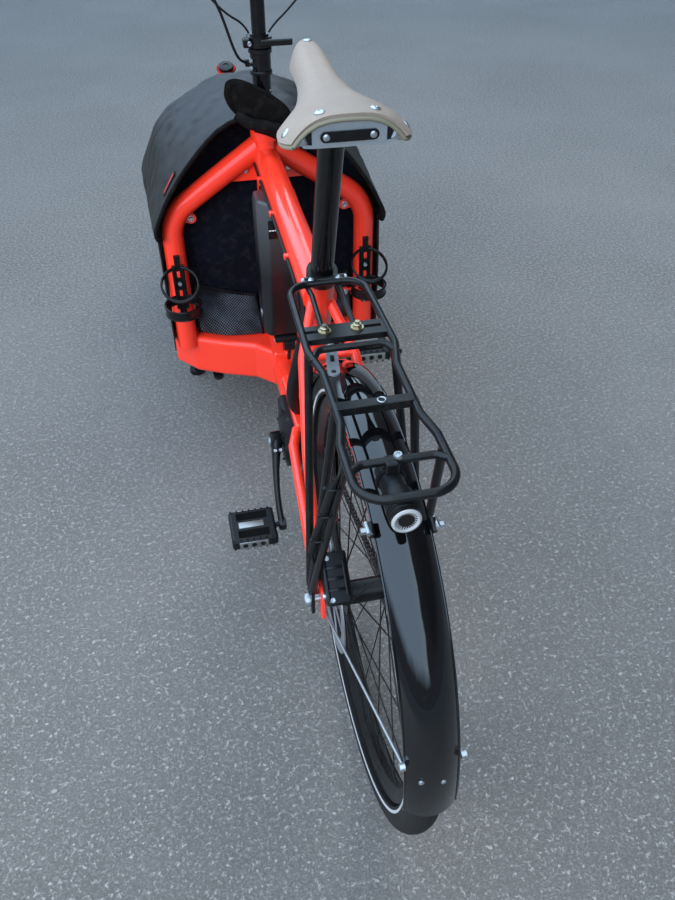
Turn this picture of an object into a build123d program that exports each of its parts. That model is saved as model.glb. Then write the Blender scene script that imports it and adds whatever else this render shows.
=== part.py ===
"""Front-loading cargo bike, standing on its centre stand.

Millimetres, +Y forward, +Z up, +X to the rider's right. The origin is on the ground, in the middle
of the bike's length. Sizes are given along the bike from the rear axle ("y from the rear axle"),
and the whole bike is moved forward or back once, by SHIFT_Y, when its pieces are written.
"""
from build123d import *
import os
from math import acos, atan2, cos, hypot, pi, radians, sin, tan

# Wheels
REAR_R = 353.0            # outside radius of the rear tyre
REAR_TYRE_W = 47.0
REAR_BEAD_R = 311.0       # where the tyre sits on the rim
FRONT_R = 258.0
FRONT_TYRE_W = 54.0
FRONT_BEAD_R = 203.0
WHEELBASE = 1945.0
RIM_DEPTH = 20.0
RIM_W = 30.0
SPOKE_R = 1.1
SPOKES = 32
SPOKE_LEAN = 0.66         # radians between a spoke's two ends, round the hub
HUB_WALL_GAP = 0.05       # running clearance of a shaft in its bearing
REAR_AXLE_R = 6.0
FRONT_AXLE_R = 7.5
DROPOUT_X = 68.0         # middle of the rear dropouts
DROPOUT_T = 8.0
ROTOR_R = 90.0
ROTOR_X = 50.0           # middle of both brake discs, on the left
ROTOR_T = 2.0

# Steering
HEAD_ANGLE = 70.0         # fork axis from the horizontal
RAKE = 48.0               # the fork axis passes this far behind the axle, at axle height
LINK_R = 155.0            # steering arms: pin to axis
HEAD_TOP_Z = 644.0
HEAD_TUBE_R = 25.0
STEERER_R = 14.3
COLUMN_Y = 912.0          # the upright steering column, from the rear axle
FORK_LEG_X = 70.0
FORK_LEG_R = 15.0
CROWN_DROP = 30.0         # fork crown below the head tube
CROWN_Z = 2 * FRONT_R + 14.0
GUIDE_Z = 857.0           # cable guide at the front of the mast
PORT_Z = 886.0            # hose port on its left
LINK_FRONT_Z = 205.0      # steering rod's front eye
LINK_REAR_Z = 118.0       # steering rod's rear eye
PIN_R = 6.0
MAST_R = 18.5
SLEEVE_R = 20.5
QUILL_R = 13.8            # sliding inner tube of the mast
COLLAR_Z = 905.0          # underside of the mast's clamp

# Frame
TUBE_R = 27.5             # main tube
TUBE_Z = 697.0            # main tube axis where it meets the column
TUBE_NOSE = 58.0          # how far the main tube runs on past the hoop
TUBE_BACK_Z = 690.0
SEAT_ANGLE = 71.0
SEAT_TUBE_R = 21.0
POST_R = 17.45
CLAMP_Z = 733.0
BB_Y = 463.0              # crank axle
BB_Z = 289.0
HOOP_R = 24.0
HOOP_X = 220.0            # half the width between the hoop's upright tubes
HOOP_Y = 924.0
HOOP_SHOULDER_Z = 580.0
HOOP_SLOPE = 34.0
HOOP_BEND = 95.0
BEAM_LOW = 166.0
BEAM_HIGH = 268.0
BEAM_EDGE = 14.0
RAIL_R = 22.0
RAIL_X = 236.0
CROSS_TUBE_R = 14.0
RAIL_Z = 205.0
SPINE_R = 28.0
COLUMN_TUBE_R = 24.0
STAY_R = 8.0
BRIDGE_X = 42.0
BRIDGE_Y = 257.0          # bridge between the seatstays
BRIDGE_Z = 626.0
STAY_WIRE_R = 2.0

# Cargo box
BOX_FRONT_Y = WHEELBASE - 355.0
FLOOR_T = 10.0
WALL_T = 8.0
WALL_X = 254.0            # outside of the side walls
PANEL_T = 6.0
CLOTH_T = 6.0
SEAT_GAP = 0.3            # between a loose piece and what it lies on

BATTERY_TOP_Z = 662.0     # just under the main tube
BATTERY_H = 310.0
BATTERY_Y = 790.0
BATTERY_W = 92.0
BATTERY_D = 96.0

# Crank, pedals and chain
CRANK_L = 170.0
CRANK_DIR = (-0.681, -0.732)   # left crank arm at rest, in y and z
CRANK_IN_X = 66.0
CRANK_OUT_X = 76.0
CRANK_AXLE_R = 12.0
CHAIN_X = 48.0
CHAINRING_R = 76.8
SPROCKET_R = 36.4
CHAIN_H = 8.0
CHAIN_W = 8.0
PEDAL_W = 92.0
PEDAL_L = 88.0
PEDAL_H = 24.0

# Stand
STAND_Y = 1125.0
STAND_Z = 168.0
STAND_AXLE_R = 10.0
STAND_FOOT_Y = 1153.0
STAND_FOOT_X = 208.0
STAND_LEG_R = 9.0
STAND_PAD_R = 21.0

# Saddle
SADDLE_Z = 1036.0         # top of the saddle at its back
SADDLE_BACK_Y = 123.0
SADDLE_SHELL_T = 5.0
RAIL_WIRE_R = 3.5

# Handlebar
BAR_Z = 1098.0
BAR_HALF_W = 318.0
BAR_R = 11.0

# Rear fender and rack
FENDER_R = 362.0
FENDER_HALF_W = 34.0
FENDER_SAG = 15.0         # edge of the fender below its crown
FENDER_T = 2.0
FRONT_FENDER_R = FRONT_R + 10.0
RACK_Z = 743.0
RACK_R = 5.5
RACK_LEG_R = 6.0
RACK_FOOT_X = 83.3
RACK_PLATE_Y = 141.0
LAMP_X = -8.0
LAMP_Z = 717.0

# Bottle cages
CAGE_Y = 857.5
CAGE_X = 219.0
CAGE_R = 37.5             # inside of the bands
CAGE_WALL = 3.5
CAGE_BAND_Z = 386.0
CAGE_BAND_H = 20.0
CAGE_BACK_T = 4.4
CAGE_BACK_Y = HOOP_Y - HOOP_R - CAGE_BACK_T / 2

SHIFT_Y = (FENDER_R + FENDER_T - (WHEELBASE + FRONT_R)) / 2

AXLE = Vector(0, 0, REAR_R)
FRONT_AXLE = Vector(0, WHEELBASE, FRONT_R)
BB = Vector(0, BB_Y, BB_Z)
COT_HEAD = 1 / tan(radians(HEAD_ANGLE))
COT_SEAT = 1 / tan(radians(SEAT_ANGLE))
FORK_DIR = Vector(0, -cos(radians(HEAD_ANGLE)), sin(radians(HEAD_ANGLE)))
SEAT_DIR = Vector(0, -cos(radians(SEAT_ANGLE)), sin(radians(SEAT_ANGLE)))
os.makedirs("parts", exist_ok=True)


def fork_axis(z):
    """Point of the fork's steering axis at height z."""
    return Vector(0, WHEELBASE - RAKE + (FRONT_R - z) * COT_HEAD, z)


def seat_axis(z):
    """Point of the seat tube's axis at height z."""
    return Vector(0, BB_Y - (z - BB_Z) * COT_SEAT, z)


def rod(p, q, radius):
    """Round bar from p to q."""
    p = Vector(*p)
    q = Vector(*q)
    along = q - p
    plane = Plane(origin=p, z_dir=along)
    return Solid.make_cylinder(radius, along.length, plane)


def tube(p, q, radius, bore):
    return rod(p, q, radius) - rod(p, q, bore)


def pipe(points, radius, bend):
    """Round tube through points, with its corners bent to the radius given."""
    line = FilletPolyline(*[Vector(*p) for p in points], radius=bend)
    start = Plane(origin=line @ 0, z_dir=line % 0)
    return sweep(start * Circle(radius), path=line).solid()


def block(centre, size, edge=0.0):
    """Box by its centre and size, with all edges rounded when edge is given."""
    body = Pos(*centre) * Box(*size)
    if edge:
        body = fillet(body.edges(), edge)
    return body


def disc(x0, x1, centre, radius):
    """Disc about a crosswise axle, from x0 to x1."""
    return Solid.make_cylinder(radius, x1 - x0, Plane(origin=(x0, centre.Y, centre.Z), z_dir=(1, 0, 0)))


def mirrored(body):
    return mirror(body, about=Plane.YZ)


def spun(profile, axle, arc=360.0, start=0.0):
    """Spin a closed (x, radius) outline about a crosswise axle."""
    return turned(ring_face(profile), axle, arc, start)


def ring_face(points, close=True):
    """Flat face in the plane x, radius, for spinning about a crosswise axle."""
    return make_face(Polyline(*[Vector(x, 0, r) for x, r in points], close=close))


def turned(face, axle, arc=360.0, start=0.0):
    """Spin a face given in x and radius about a crosswise axle; start is degrees up from forward."""
    solid = revolve(face, axis=Axis.X, revolution_arc=arc).solid()
    return solid.rotate(Axis.X, start - 90.0).moved(Location((axle.X, axle.Y, axle.Z)))


def largest(body):
    return body.solids().sort_by(lambda s: s.volume)[-1]


def plate(points, y, thickness):
    """Upright plate across the bike: its (x, z) outline, from y forward."""
    face = make_face(Polyline(*[Vector(x, y, z) for x, z in points], close=True))
    return extrude(face, thickness, dir=(0, 1, 0)).solid()


def cable(points, radius):
    """Bent cable through points: each bend is as wide as its two runs allow. Prints the bends' radii."""
    pts = [Vector(*p) for p in points]
    bends = []
    for a, b, c in zip(pts, pts[1:], pts[2:]):
        short = min((b - a).length, (c - b).length)
        turn = radians((b - a).get_angle(c - b))
        bends.append(0.45 * short / tan(turn / 2))
    print("cable bends", [round(b) for b in bends])
    line = FilletPolyline(*pts, radius=bends)
    start = Plane(origin=line @ 0, z_dir=line % 0)
    return sweep(start * Circle(radius), path=line).solid()


def write(name, *bodies):
    """Write one node: its solids, in the bike's own frame."""
    solids = [s for b in bodies for s in (b.solids() if hasattr(b, "solids") else [b])]
    shape = solids[0] if len(solids) == 1 else Compound(children=solids)
    export_step(shape.moved(Location((0, SHIFT_Y, 0))), f"parts/{name}.step")


def tyre(axle, outer, bead, width):
    """Tyre: (share of half width, share of the height above the bead) around the section."""
    shape = ((0.66, 0.0), (1.0, 0.42), (0.87, 0.78), (0.5, 0.96), (0.0, 1.0))
    half = [(width / 2 * a, bead + (outer - bead) * b) for a, b in shape]
    return spun(half + [(-x, r) for x, r in reversed(half[:-1])], axle)


def rim(axle, bead, width):
    half = width / 2
    profile = ((-half, bead - 1), (-half + 3, bead - 1), (-half + 4, bead - 9), (half - 4, bead - 9),
               (half - 3, bead - 1), (half, bead - 1), (half - 2, bead - 10),
               (6, bead - RIM_DEPTH), (-6, bead - RIM_DEPTH), (-half + 2, bead - 10))
    return spun(profile, axle)


def spoked_hub(axle, rim_r, flange_x, flange_r, barrel_r, half_width, bore):
    """Hub shell with its two flanges and every spoke, one solid."""
    hub = disc(-half_width, half_width, axle, barrel_r)
    for side in (-1, 1):
        x = side * flange_x
        hub += disc(min(x, x + 3 * side), max(x, x + 3 * side), axle, flange_r)
    foot_r = flange_r - 4
    for i in range(SPOKES):
        side = -1 if i % 2 else 1
        lean = (1 if (i // 2) % 2 else -1) * SPOKE_LEAN
        outer = 2 * pi * i / SPOKES
        inner = outer + lean
        foot = (side * (flange_x + 1.5), axle.Y + foot_r * cos(inner), axle.Z + foot_r * sin(inner))
        tip = (side * 4.0, axle.Y + rim_r * cos(outer), axle.Z + rim_r * sin(outer))
        hub += rod(foot, tip, SPOKE_R)
    return hub - disc(-half_width - 1, half_width + 1, axle, bore)


def rotor(axle, hub_x, bore):
    """Brake disc on the left of a wheel, with its six-armed carrier down to the hub."""
    left, right = -ROTOR_X - ROTOR_T / 2, -ROTOR_X + ROTOR_T / 2
    body = disc(left, right, axle, ROTOR_R) - disc(left - 1, right + 1, axle, ROTOR_R - 21)
    body += disc(left, -hub_x, axle, 22)
    for i in range(6):
        a = radians(60 * i)
        tip = (-ROTOR_X, axle.Y + (ROTOR_R - 18) * cos(a), axle.Z + (ROTOR_R - 18) * sin(a))
        body += rod((-ROTOR_X, axle.Y, axle.Z), tip, 3) & disc(left, right, axle, ROTOR_R - 15)
    return body - disc(left - 5, -hub_x + 5, axle, bore)


def rear_wheel():
    bore = REAR_AXLE_R + HUB_WALL_GAP
    write("rear_tyre", tyre(AXLE, REAR_R, REAR_BEAD_R, REAR_TYRE_W))
    write("rear_rim", rim(AXLE, REAR_BEAD_R, RIM_W))
    write("rear_hub", spoked_hub(AXLE, REAR_BEAD_R - RIM_DEPTH + 2, 30, 33, 19, 40, bore))
    write("rear_disc", rotor(AXLE, 40, bore))
    cog = disc(CHAIN_X - 2, CHAIN_X + 2, AXLE, SPROCKET_R - CHAIN_H / 2 - 1)
    cog += disc(40, CHAIN_X - 2, AXLE, 20)
    write("rear_sprocket", cog - disc(39, CHAIN_X + 3, AXLE, bore))


def front_wheel():
    bore = FRONT_AXLE_R + HUB_WALL_GAP
    write("front_tyre", tyre(FRONT_AXLE, FRONT_R, FRONT_BEAD_R, FRONT_TYRE_W))
    write("front_rim", rim(FRONT_AXLE, FRONT_BEAD_R, RIM_W))
    write("front_hub", spoked_hub(FRONT_AXLE, FRONT_BEAD_R - RIM_DEPTH + 2, 26, 34, 20, 34, bore))
    write("front_disc", rotor(FRONT_AXLE, 34, bore))


def frame_solids():
    """The frame's tubes, each trimmed by what it is welded to."""
    out = {}
    seat = rod(seat_axis(BB_Z + 76), seat_axis(CLAMP_Z), SEAT_TUBE_R)
    bracket = block((0, BB_Y + 22, BB_Z + 72), (76, 170, 22), 6)
    seat_tube = seat + bracket
    seat_tube -= rod(seat_axis(CLAMP_Z - 190), seat_axis(CLAMP_Z + 5), POST_R)
    bore = rod((0, COLUMN_Y, TUBE_Z - 90), (0, COLUMN_Y, TUBE_Z + 50), STEERER_R + HUB_WALL_GAP)
    main = rod(seat_axis(TUBE_BACK_Z), (0, HOOP_Y + TUBE_NOSE, TUBE_Z), TUBE_R)
    main -= rod(seat_axis(BB_Z + 60), seat_axis(CLAMP_Z + 20), SEAT_TUBE_R)
    main += rod((0, COLUMN_Y, TUBE_Z), (0, COLUMN_Y, TUBE_Z + 44), COLUMN_TUBE_R)
    out["main_tube"] = largest(main - bore)
    beam = lower_beam()
    out["lower_beam"] = beam
    sides = [hoop_side(), mirrored(hoop_side())]
    column = rod((0, COLUMN_Y, BEAM_HIGH - 20), (0, COLUMN_Y, TUBE_Z), COLUMN_TUBE_R)
    out["column_tube"] = largest(column - bore - main - beam)
    spine_front = (0, 830, BEAM_LOW + 50)
    spine = rod((0, BB_Y + 90, BB_Z - 52), spine_front, SPINE_R)
    spine += block((0, BB_Y + 92, BB_Z + 12), (60, 34, 142), 5)
    out["spine"] = largest(spine - beam - seat_tube)
    out["seat_tube"] = seat_tube
    out["hoop"] = [largest(side + lugs(k) + gusset(k) - column - beam - main)
                   for side, k in zip(sides, (-1, 1))]
    out["chainstays"], out["seatstays"] = rear_stays(seat_tube)
    return out


# Gusset between a slope of the hoop and the column: (distance from the middle, z)
GUSSET = ((0, 646), (90, 646), (62, 690), (0, 690))
# Threaded lugs inside the hoop that hold the rear panel: distance from the middle, height
LUGS = ((175.0, 567.0), (179.0, 339.0))
LUG_R = 12.0


def gusset(side):
    return plate([(side * x, z) for x, z in GUSSET], HOOP_Y - 3, 6)


def lugs(side):
    body = None
    for x, z in LUGS:
        lug = rod((side * x, HOOP_Y + 6, z), (side * x, HOOP_Y + 12, z), LUG_R)
        neck = (side * (x + HOOP_X - 10) / 2, HOOP_Y + 9, z)
        lug += block(neck, (HOOP_X - 10 - x, 6, 1.5 * LUG_R))
        body = lug if body is None else body + lug
    return body


def rear_stays(seat_tube):
    """Both chainstays, and the seatstays with their bridge and the dropouts."""
    low = pipe(((-34, BB_Y - 50, BB_Z + 62), (-48, BB_Y - 95, BB_Z + 60), (-DROPOUT_X, 40, REAR_R - 2),
                (-DROPOUT_X, 12, REAR_R - 2)), 10, 12)
    dropout = block((-DROPOUT_X, -2, REAR_R + 8), (DROPOUT_T, 44, 66), 3)
    low = largest(low - seat_tube) - dropout
    run = ((-9, 331, 699), (-BRIDGE_X, BRIDGE_Y, BRIDGE_Z), (-58, 150, 519), (-DROPOUT_X, 8, REAR_R + 26))
    high = pipe(run, STAY_R, 60)
    high = largest(high - rod(seat_axis(600), seat_axis(800), SEAT_TUBE_R))
    stays = high + dropout - disc(-90, -40, AXLE, REAR_AXLE_R)
    bridge = rod((-BRIDGE_X, BRIDGE_Y, BRIDGE_Z), (BRIDGE_X, BRIDGE_Y, BRIDGE_Z), 7)
    return [low, mirrored(low)], stays + mirrored(stays) + bridge


# Plan of the cross beam under the hoop: (x, y) of the rear edge, then of the front edge, left half
BEAM_REAR = ((20, 806), (64, 850), (140, 880), (206, 914), (252, 968))
BEAM_FRONT = ((256, 1050), (214, 1050), (190, 1004), (126, 986))


def lower_beam():
    half = list(BEAM_REAR + BEAM_FRONT)
    around = half + [(-x, y) for x, y in reversed(half)]
    line = FilletPolyline(*[Vector(x, y, BEAM_LOW) for x, y in around], radius=8, close=True)
    body = extrude(make_face(line), BEAM_HIGH - BEAM_LOW, dir=(0, 0, 1)).solid()
    rims = body.faces().sort_by(Axis.Z)[0].edges() + body.faces().sort_by(Axis.Z)[-1].edges()
    body = fillet(rims, BEAM_EDGE).solid()
    low, high = BEAM_HIGH - 14, BEAM_HIGH + 52
    tab = plate(((-26, low), (2, low), (-4, high), (-30, high)), 812, 6)
    return (body + tab).solid()


def hoop_side():
    """Left half of the hoop behind the box."""
    rise = tan(radians(HOOP_SLOPE))
    return pipe(((-HOOP_X, HOOP_Y - 4, BEAM_HIGH - 20), (-HOOP_X, HOOP_Y, HOOP_SHOULDER_Z),
                 (-6, HOOP_Y, HOOP_SHOULDER_Z + rise * (HOOP_X - 6))), HOOP_R, HOOP_BEND)


def head_tube_ends():
    """Top and bottom of the fork's head tube."""
    top = fork_axis(HEAD_TOP_Z)
    return top, top - FORK_DIR * (HEAD_TOP_Z - CROWN_Z - CROWN_DROP)


def front_frame():
    """Side rails, the two tubes that rise from them, and the fork's head tube."""
    top, bottom = head_tube_ends()
    joint = (top + bottom) * 0.5
    run = ((-RAIL_X, STAND_Y - 75, RAIL_Z), (-RAIL_X, BOX_FRONT_Y - 90, RAIL_Z),
           (-RAIL_X + 30, BOX_FRONT_Y - 10, RAIL_Z + 20), (-14, joint.Y - 14, joint.Z - 6))
    rail = pipe(run, RAIL_R, 46)
    body = rail + mirrored(rail)
    for y in (STAND_Y + 35, BOX_FRONT_Y - 190):
        body += rod((-RAIL_X + 11, y, RAIL_Z), (RAIL_X - 11, y, RAIL_Z), CROSS_TUBE_R)
    for side in (-1, 1):
        body += block((side * 216, STAND_Y, STAND_Z + 8), (10, 44, 46))
    body -= rod((-240, STAND_Y, STAND_Z), (240, STAND_Y, STAND_Z), STAND_AXLE_R + HUB_WALL_GAP)
    body += rod(bottom, top, HEAD_TUBE_R)
    body -= rod(bottom - FORK_DIR * 40, top + FORK_DIR * 40, STEERER_R + HUB_WALL_GAP)
    return body


def frame():
    for name, body in frame_cache.items():
        bodies = body if isinstance(body, list) else [body]
        write(name, *bodies)


def front_fork():
    crown = fork_axis(CROWN_Z)
    top, bottom = head_tube_ends()
    body = rod(crown, top + FORK_DIR * 8, STEERER_R)
    body += rod(top + FORK_DIR * 3, top + FORK_DIR * 10, 22)
    body += rod(bottom - FORK_DIR * 3, crown, 22)
    body += block((0, crown.Y, crown.Z - 6), (2 * FORK_LEG_X + 2 * FORK_LEG_R, 40, 30), 8)
    foot = FRONT_AXLE
    for side in (-1, 1):
        x = side * FORK_LEG_X
        body += rod((x, crown.Y, crown.Z - 8), (x, foot.Y - 8, foot.Z + 10), FORK_LEG_R)
        body += block((side * FORK_LEG_X, foot.Y, foot.Z), (12, 30, 40), 4)
    pin = fork_axis(LINK_FRONT_Z) + Vector(-LINK_R, 0, 0)
    body += rod((-FORK_LEG_X, foot.Y - 24, foot.Z - 6), pin + FORK_DIR * 21, 9)
    body += rod(pin - FORK_DIR * 14, pin + FORK_DIR * 26, PIN_R)
    body += block((0, crown.Y + 2, crown.Z - 30), (14, 10, 30))
    for side in (-1, 1):
        up = radians(60)
        tip = (side * 36, foot.Y + FRONT_FENDER_R * cos(up), foot.Z + FRONT_FENDER_R * sin(up) - 12)
        body += rod((side * FORK_LEG_X, foot.Y + 12, foot.Z), tip, STAY_WIRE_R)
    return largest(body - disc(-100, 100, FRONT_AXLE, FRONT_AXLE_R) - front_fender())


def lever_axis(z):
    """Point of the lower steering axis, parallel to the fork's, at height z."""
    return Vector(0, COLUMN_Y + (BEAM_LOW + 84 - z) * COT_HEAD, z)


def linkage():
    """Steering lever under the beam, and the rod from it to the fork's arm."""
    centre = lever_axis(LINK_REAR_Z)
    pin = centre + Vector(-LINK_R, 0, 0)
    lift = FORK_DIR * 14
    arm = rod(centre + lift, pin + lift, 7)
    arm += rod(centre + lift * 0.4, lever_axis(BEAM_LOW - 6), 16)
    arm += rod(pin - FORK_DIR * 12, pin + FORK_DIR * 18, PIN_R)
    write("steering_lever", arm)
    far = fork_axis(LINK_FRONT_Z) + Vector(-LINK_R, 0, 0)
    bar = pipe((pin + Vector(0, 14, 0), pin + Vector(0, 650, 0), far + Vector(0, -13, 0)), 8, 120)
    for end in (pin, far):
        bar += rod(end - FORK_DIR * 7, end + FORK_DIR * 7, 14)
    for end in (pin, far):
        bar -= rod(end - FORK_DIR * 30, end + FORK_DIR * 30, PIN_R + 0.1)
    write("tie_rod", bar)


def column_rod(low, high, radius):
    """Round length of the upright column."""
    return rod((0, COLUMN_Y, low), (0, COLUMN_Y, high), radius)


def column_parts():
    base = TUBE_Z + 46
    mast = column_rod(TUBE_Z - 60, base, STEERER_R) + column_rod(base, COLLAR_Z - 41, MAST_R)
    mast += column_rod(COLLAR_Z - 41, COLLAR_Z, SLEEVE_R) + column_rod(COLLAR_Z, COLLAR_Z + 33, MAST_R)
    mast += column_rod(COLLAR_Z + 33, BAR_Z - 8, QUILL_R)
    mast += block((0, COLUMN_Y + MAST_R + 6, GUIDE_Z), (26, 18, 14), 3)
    mast += block((-SLEEVE_R - 4, COLUMN_Y, PORT_Z), (14, 12, 14), 3)
    clamp = tube((0, COLUMN_Y, COLLAR_Z + 11), (0, COLUMN_Y, COLLAR_Z + 29), MAST_R + 6.5, MAST_R)
    clamp += block((-27, COLUMN_Y - 12, COLLAR_Z + 20), (14, 20, 16), 3)
    clamp += block((30, COLUMN_Y - 26, COLLAR_Z + 21), (62, 8, 12), 3)
    write("mast_clamp", clamp)
    stem = column_rod(BAR_Z - 8, BAR_Z + 34, 19)
    stem += rod((0, COLUMN_Y, BAR_Z + 14), (0, COLUMN_Y + 50, BAR_Z + 20), 17)
    centre = Vector(0, COLUMN_Y + 58, BAR_Z + 20)
    stem += rod(centre - Vector(24, 0, 0), centre + Vector(24, 0, 0), 21)
    half = ((BAR_HALF_W, COLUMN_Y - 60, BAR_Z + 40), (200, COLUMN_Y - 26, BAR_Z + 40),
            (80, centre.Y, centre.Z))
    bar = pipe([(-x, y, z) for x, y, z in half] + list(reversed(half)), BAR_R, 50)
    write("stem", stem - bar)
    write("handlebar", bar)
    grips = []
    levers = []
    for side in (-1, 1):
        end = Vector(side * BAR_HALF_W, COLUMN_Y - 60, BAR_Z + 40)
        start = Vector(side * 200, COLUMN_Y - 26, BAR_Z + 40)
        along = (end - start).normalized()
        grips.append(rod(end - along * 118, end + along * 4, 17) - bar)
        a = end - along * 150
        knuckle = a + Vector(side * 16, 34, -8)
        lever = rod(a - along * 10, a + along * 10, 16) + rod(a, knuckle, 10)
        lever += rod(knuckle, a + Vector(side * 105, 48, -22), 5.5)
        levers.append(lever - bar)
    write("grips", *grips)
    write("brake_levers", *levers)
    hoses = bar_hoses()
    for hose in hoses:
        mast -= hose
    write("steering_mast", mast)
    write("bar_hoses", *[largest(h - levers[0] - levers[1] - mast - bar) for h in hoses])


# Hoses of the handlebar: radius, then the points from the lever down to the mast
BAR_HOSES = (
    (2.6, ((-150, 926, 1128), (-138, 880, 1098), (-104, 858, 1046), (-78, 862, 998), (-66, 872, 960),
           (-53, 884, 916), (-40, 900, 891), (-26, 911, 886))),
    (2.0, ((-156, 934, 1122), (-128, 930, 1070), (-96, 914, 1010), (-60, 918, 972), (-26, 938, 950),
           (-8, 942, 915), (-5, 940, 880), (-5, 937, 862))),
    (2.0, ((150, 926, 1128), (132, 918, 1076), (100, 934, 1010), (66, 950, 968), (34, 952, 942),
           (10, 945, 912), (5, 940, 884), (5, 937, 862))),
)


def bar_hoses():
    return [cable(points, r) for r, points in BAR_HOSES]


def crank_parts():
    d = Vector(0, *CRANK_DIR)
    ends = ((-1, BB + d * CRANK_L), (1, BB - d * CRANK_L))
    body = disc(-CRANK_IN_X - 14, CRANK_IN_X + 14, BB, CRANK_AXLE_R)
    for side, end in ends:
        hub = Vector(side * (CRANK_IN_X + 5), BB.Y, BB.Z)
        tip = Vector(side * (CRANK_OUT_X + 6), end.Y, end.Z)
        reach = tip - hub
        body += rod(hub - Vector(side * 7, 0, 0), hub + Vector(side * 9, 0, 0), 18)
        body += rod(tip - Vector(side * 7, 0, 0), tip + Vector(side * 7, 0, 0), 13)
        body += Solid.make_cone(13, 9, reach.length, Plane(origin=hub, z_dir=reach))
        body -= rod(tip - Vector(20, 0, 0), tip + Vector(20, 0, 0), 5)
    write("crankset", body)
    ring = disc(CHAIN_X - 2, CHAIN_X + 2, BB, CHAINRING_R - CHAIN_H / 2 - 1)
    for i in range(5):
        a = radians(72 * i + 20)
        ring -= disc(CHAIN_X - 4, CHAIN_X + 4, BB + Vector(0, 42 * cos(a), 42 * sin(a)), 13)
    ring += disc(CHAIN_X + 2, CRANK_IN_X - 2, BB, 20)
    ring -= disc(CHAIN_X - 4, CRANK_IN_X, BB, CRANK_AXLE_R)
    write("chainring", ring - body)
    for (side, end), name in zip(ends, ("left_pedal", "right_pedal")):
        cx = side * (CRANK_OUT_X + 20 + PEDAL_W / 2)
        cage = block((cx, end.Y, end.Z), (PEDAL_W, PEDAL_L, PEDAL_H), 6)
        for k in (-1, 1):
            cage -= block((cx, end.Y + k * 24, end.Z), (PEDAL_W - 30, 20, PEDAL_H + 10))
        cage += rod((side * (CRANK_OUT_X - 1), end.Y, end.Z), (cx, end.Y, end.Z), 4.95)
        write(name, cage)


def chain():
    """Closed loop round chainring and sprocket, with straight runs tangent to both."""
    reach = BB - AXLE
    lean = atan2(reach.Z, reach.Y)
    turn = acos((CHAINRING_R - SPROCKET_R) / hypot(reach.Y, reach.Z))
    left, right = CHAIN_X - CHAIN_W / 2, CHAIN_X + CHAIN_W / 2
    loops = []
    for grow in (CHAIN_H / 2, -CHAIN_H / 2):
        pts = []
        for centre, radius in ((BB, CHAINRING_R + grow), (AXLE, SPROCKET_R + grow)):
            for a in (lean + turn, lean - turn):
                pts.append(Vector(left, centre.Y + radius * cos(a), centre.Z + radius * sin(a)))
        run = Polyline(pts[0], pts[1], pts[3], pts[2], close=True)
        shape = extrude(make_face(run), CHAIN_W, dir=(1, 0, 0))
        shape += disc(left, right, BB, CHAINRING_R + grow) + disc(left, right, AXLE, SPROCKET_R + grow)
        loops.append(shape)
    write("chain", loops[0] - loops[1])


def drive():
    motor = disc(-54, 38, BB + Vector(0, 6, 0), 60)
    motor += block((-8, BB_Y + 30, BB_Z + 8), (92, 96, 104), 12)
    motor -= disc(-60, 45, BB, CRANK_AXLE_R + 1)
    motor -= block((0, BB_Y + 92, BB_Z + 12), (62, 36, 144))
    motor -= block((0, BB_Y + 22, BB_Z + 72), (80, 174, 22.2))
    write("motor", largest(motor))
    low = BATTERY_TOP_Z - BATTERY_H
    middle = BATTERY_TOP_Z - BATTERY_H / 2
    battery = block((0, BATTERY_Y, middle), (BATTERY_W, BATTERY_D, BATTERY_H), 14)
    write("battery", battery)
    back = BATTERY_Y + BATTERY_D / 2
    cradle = block((0, back + 9, middle), (54, 20, BATTERY_H - 4), 3)
    cradle += block((0, BATTERY_Y + 18, low - 8), (80, 78, 16), 3)
    cradle += block((0, back + 32, middle), (30, 50, 60), 2)
    cradle += block((22, back - 20, (low + BEAM_HIGH) / 2), (26, 30, low - BEAM_HIGH + 8), 2)
    cradle -= battery
    cradle -= column_rod(200, 750, COLUMN_TUBE_R + SEAT_GAP)
    write("battery_mount", largest(cradle - frame_cache["lower_beam"]))
    chain()


def cargo_box():
    back = STAND_Y - 65
    front_y = BOX_FRONT_Y - 70
    floor_z = RAIL_Z + CROSS_TUBE_R + SEAT_GAP + FLOOR_T / 2
    write("cargo_floor", block((0, (back + front_y) / 2, floor_z), (380, front_y - back, FLOOR_T)))
    roof = canopy_block(0)
    steel = frame_cache["front_frame"]
    walls = []
    wall_back = HOOP_Y - 17
    wall_front = BOX_FRONT_Y - 60
    low = RAIL_Z + 12
    slope_y = wall_back + CANOPY[1][0] * (BOX_FRONT_Y + 100 - wall_back)
    for side in (-1, 1):
        outline = ((wall_back, low), (wall_back, CANOPY[0][5] - 1), (slope_y, CANOPY[1][5] - 1),
                   (wall_front, CANOPY[2][5] - 1), (wall_front, low))
        x = side * WALL_X - (WALL_T if side > 0 else 0)
        around = Polyline(*[Vector(x, y, z) for y, z in outline], close=True)
        wall = extrude(make_face(around), WALL_T, dir=(1, 0, 0))
        walls.append(largest(wall - roof - steel - frame_cache["lower_beam"]))
    write("side_walls", *walls)
    half = WALL_X - WALL_T - 2
    outline = [(-half, BEAM_HIGH + 4), (-half, 545), (-200, 606), (-60, 694), (60, 694), (200, 606),
               (half, 545), (half, BEAM_HIGH + 4)]
    panel = plate(outline, HOOP_Y + HOOP_R + SEAT_GAP, PANEL_T)
    opening = rod((0, HOOP_Y, TUBE_Z), (0, HOOP_Y + 60, TUBE_Z), TUBE_R + 1)
    opening += block((0, HOOP_Y + 30, TUBE_Z + 20), (2 * TUBE_R + 2, 60, 40))
    write("rear_panel", largest(panel - opening))
    front = block((0, BOX_FRONT_Y - 44, 388), (2 * (WALL_X - WALL_T - SEAT_GAP), PANEL_T, 300))
    write("front_wall", largest(front - steel - roof))
    canopy(roof)


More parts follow.
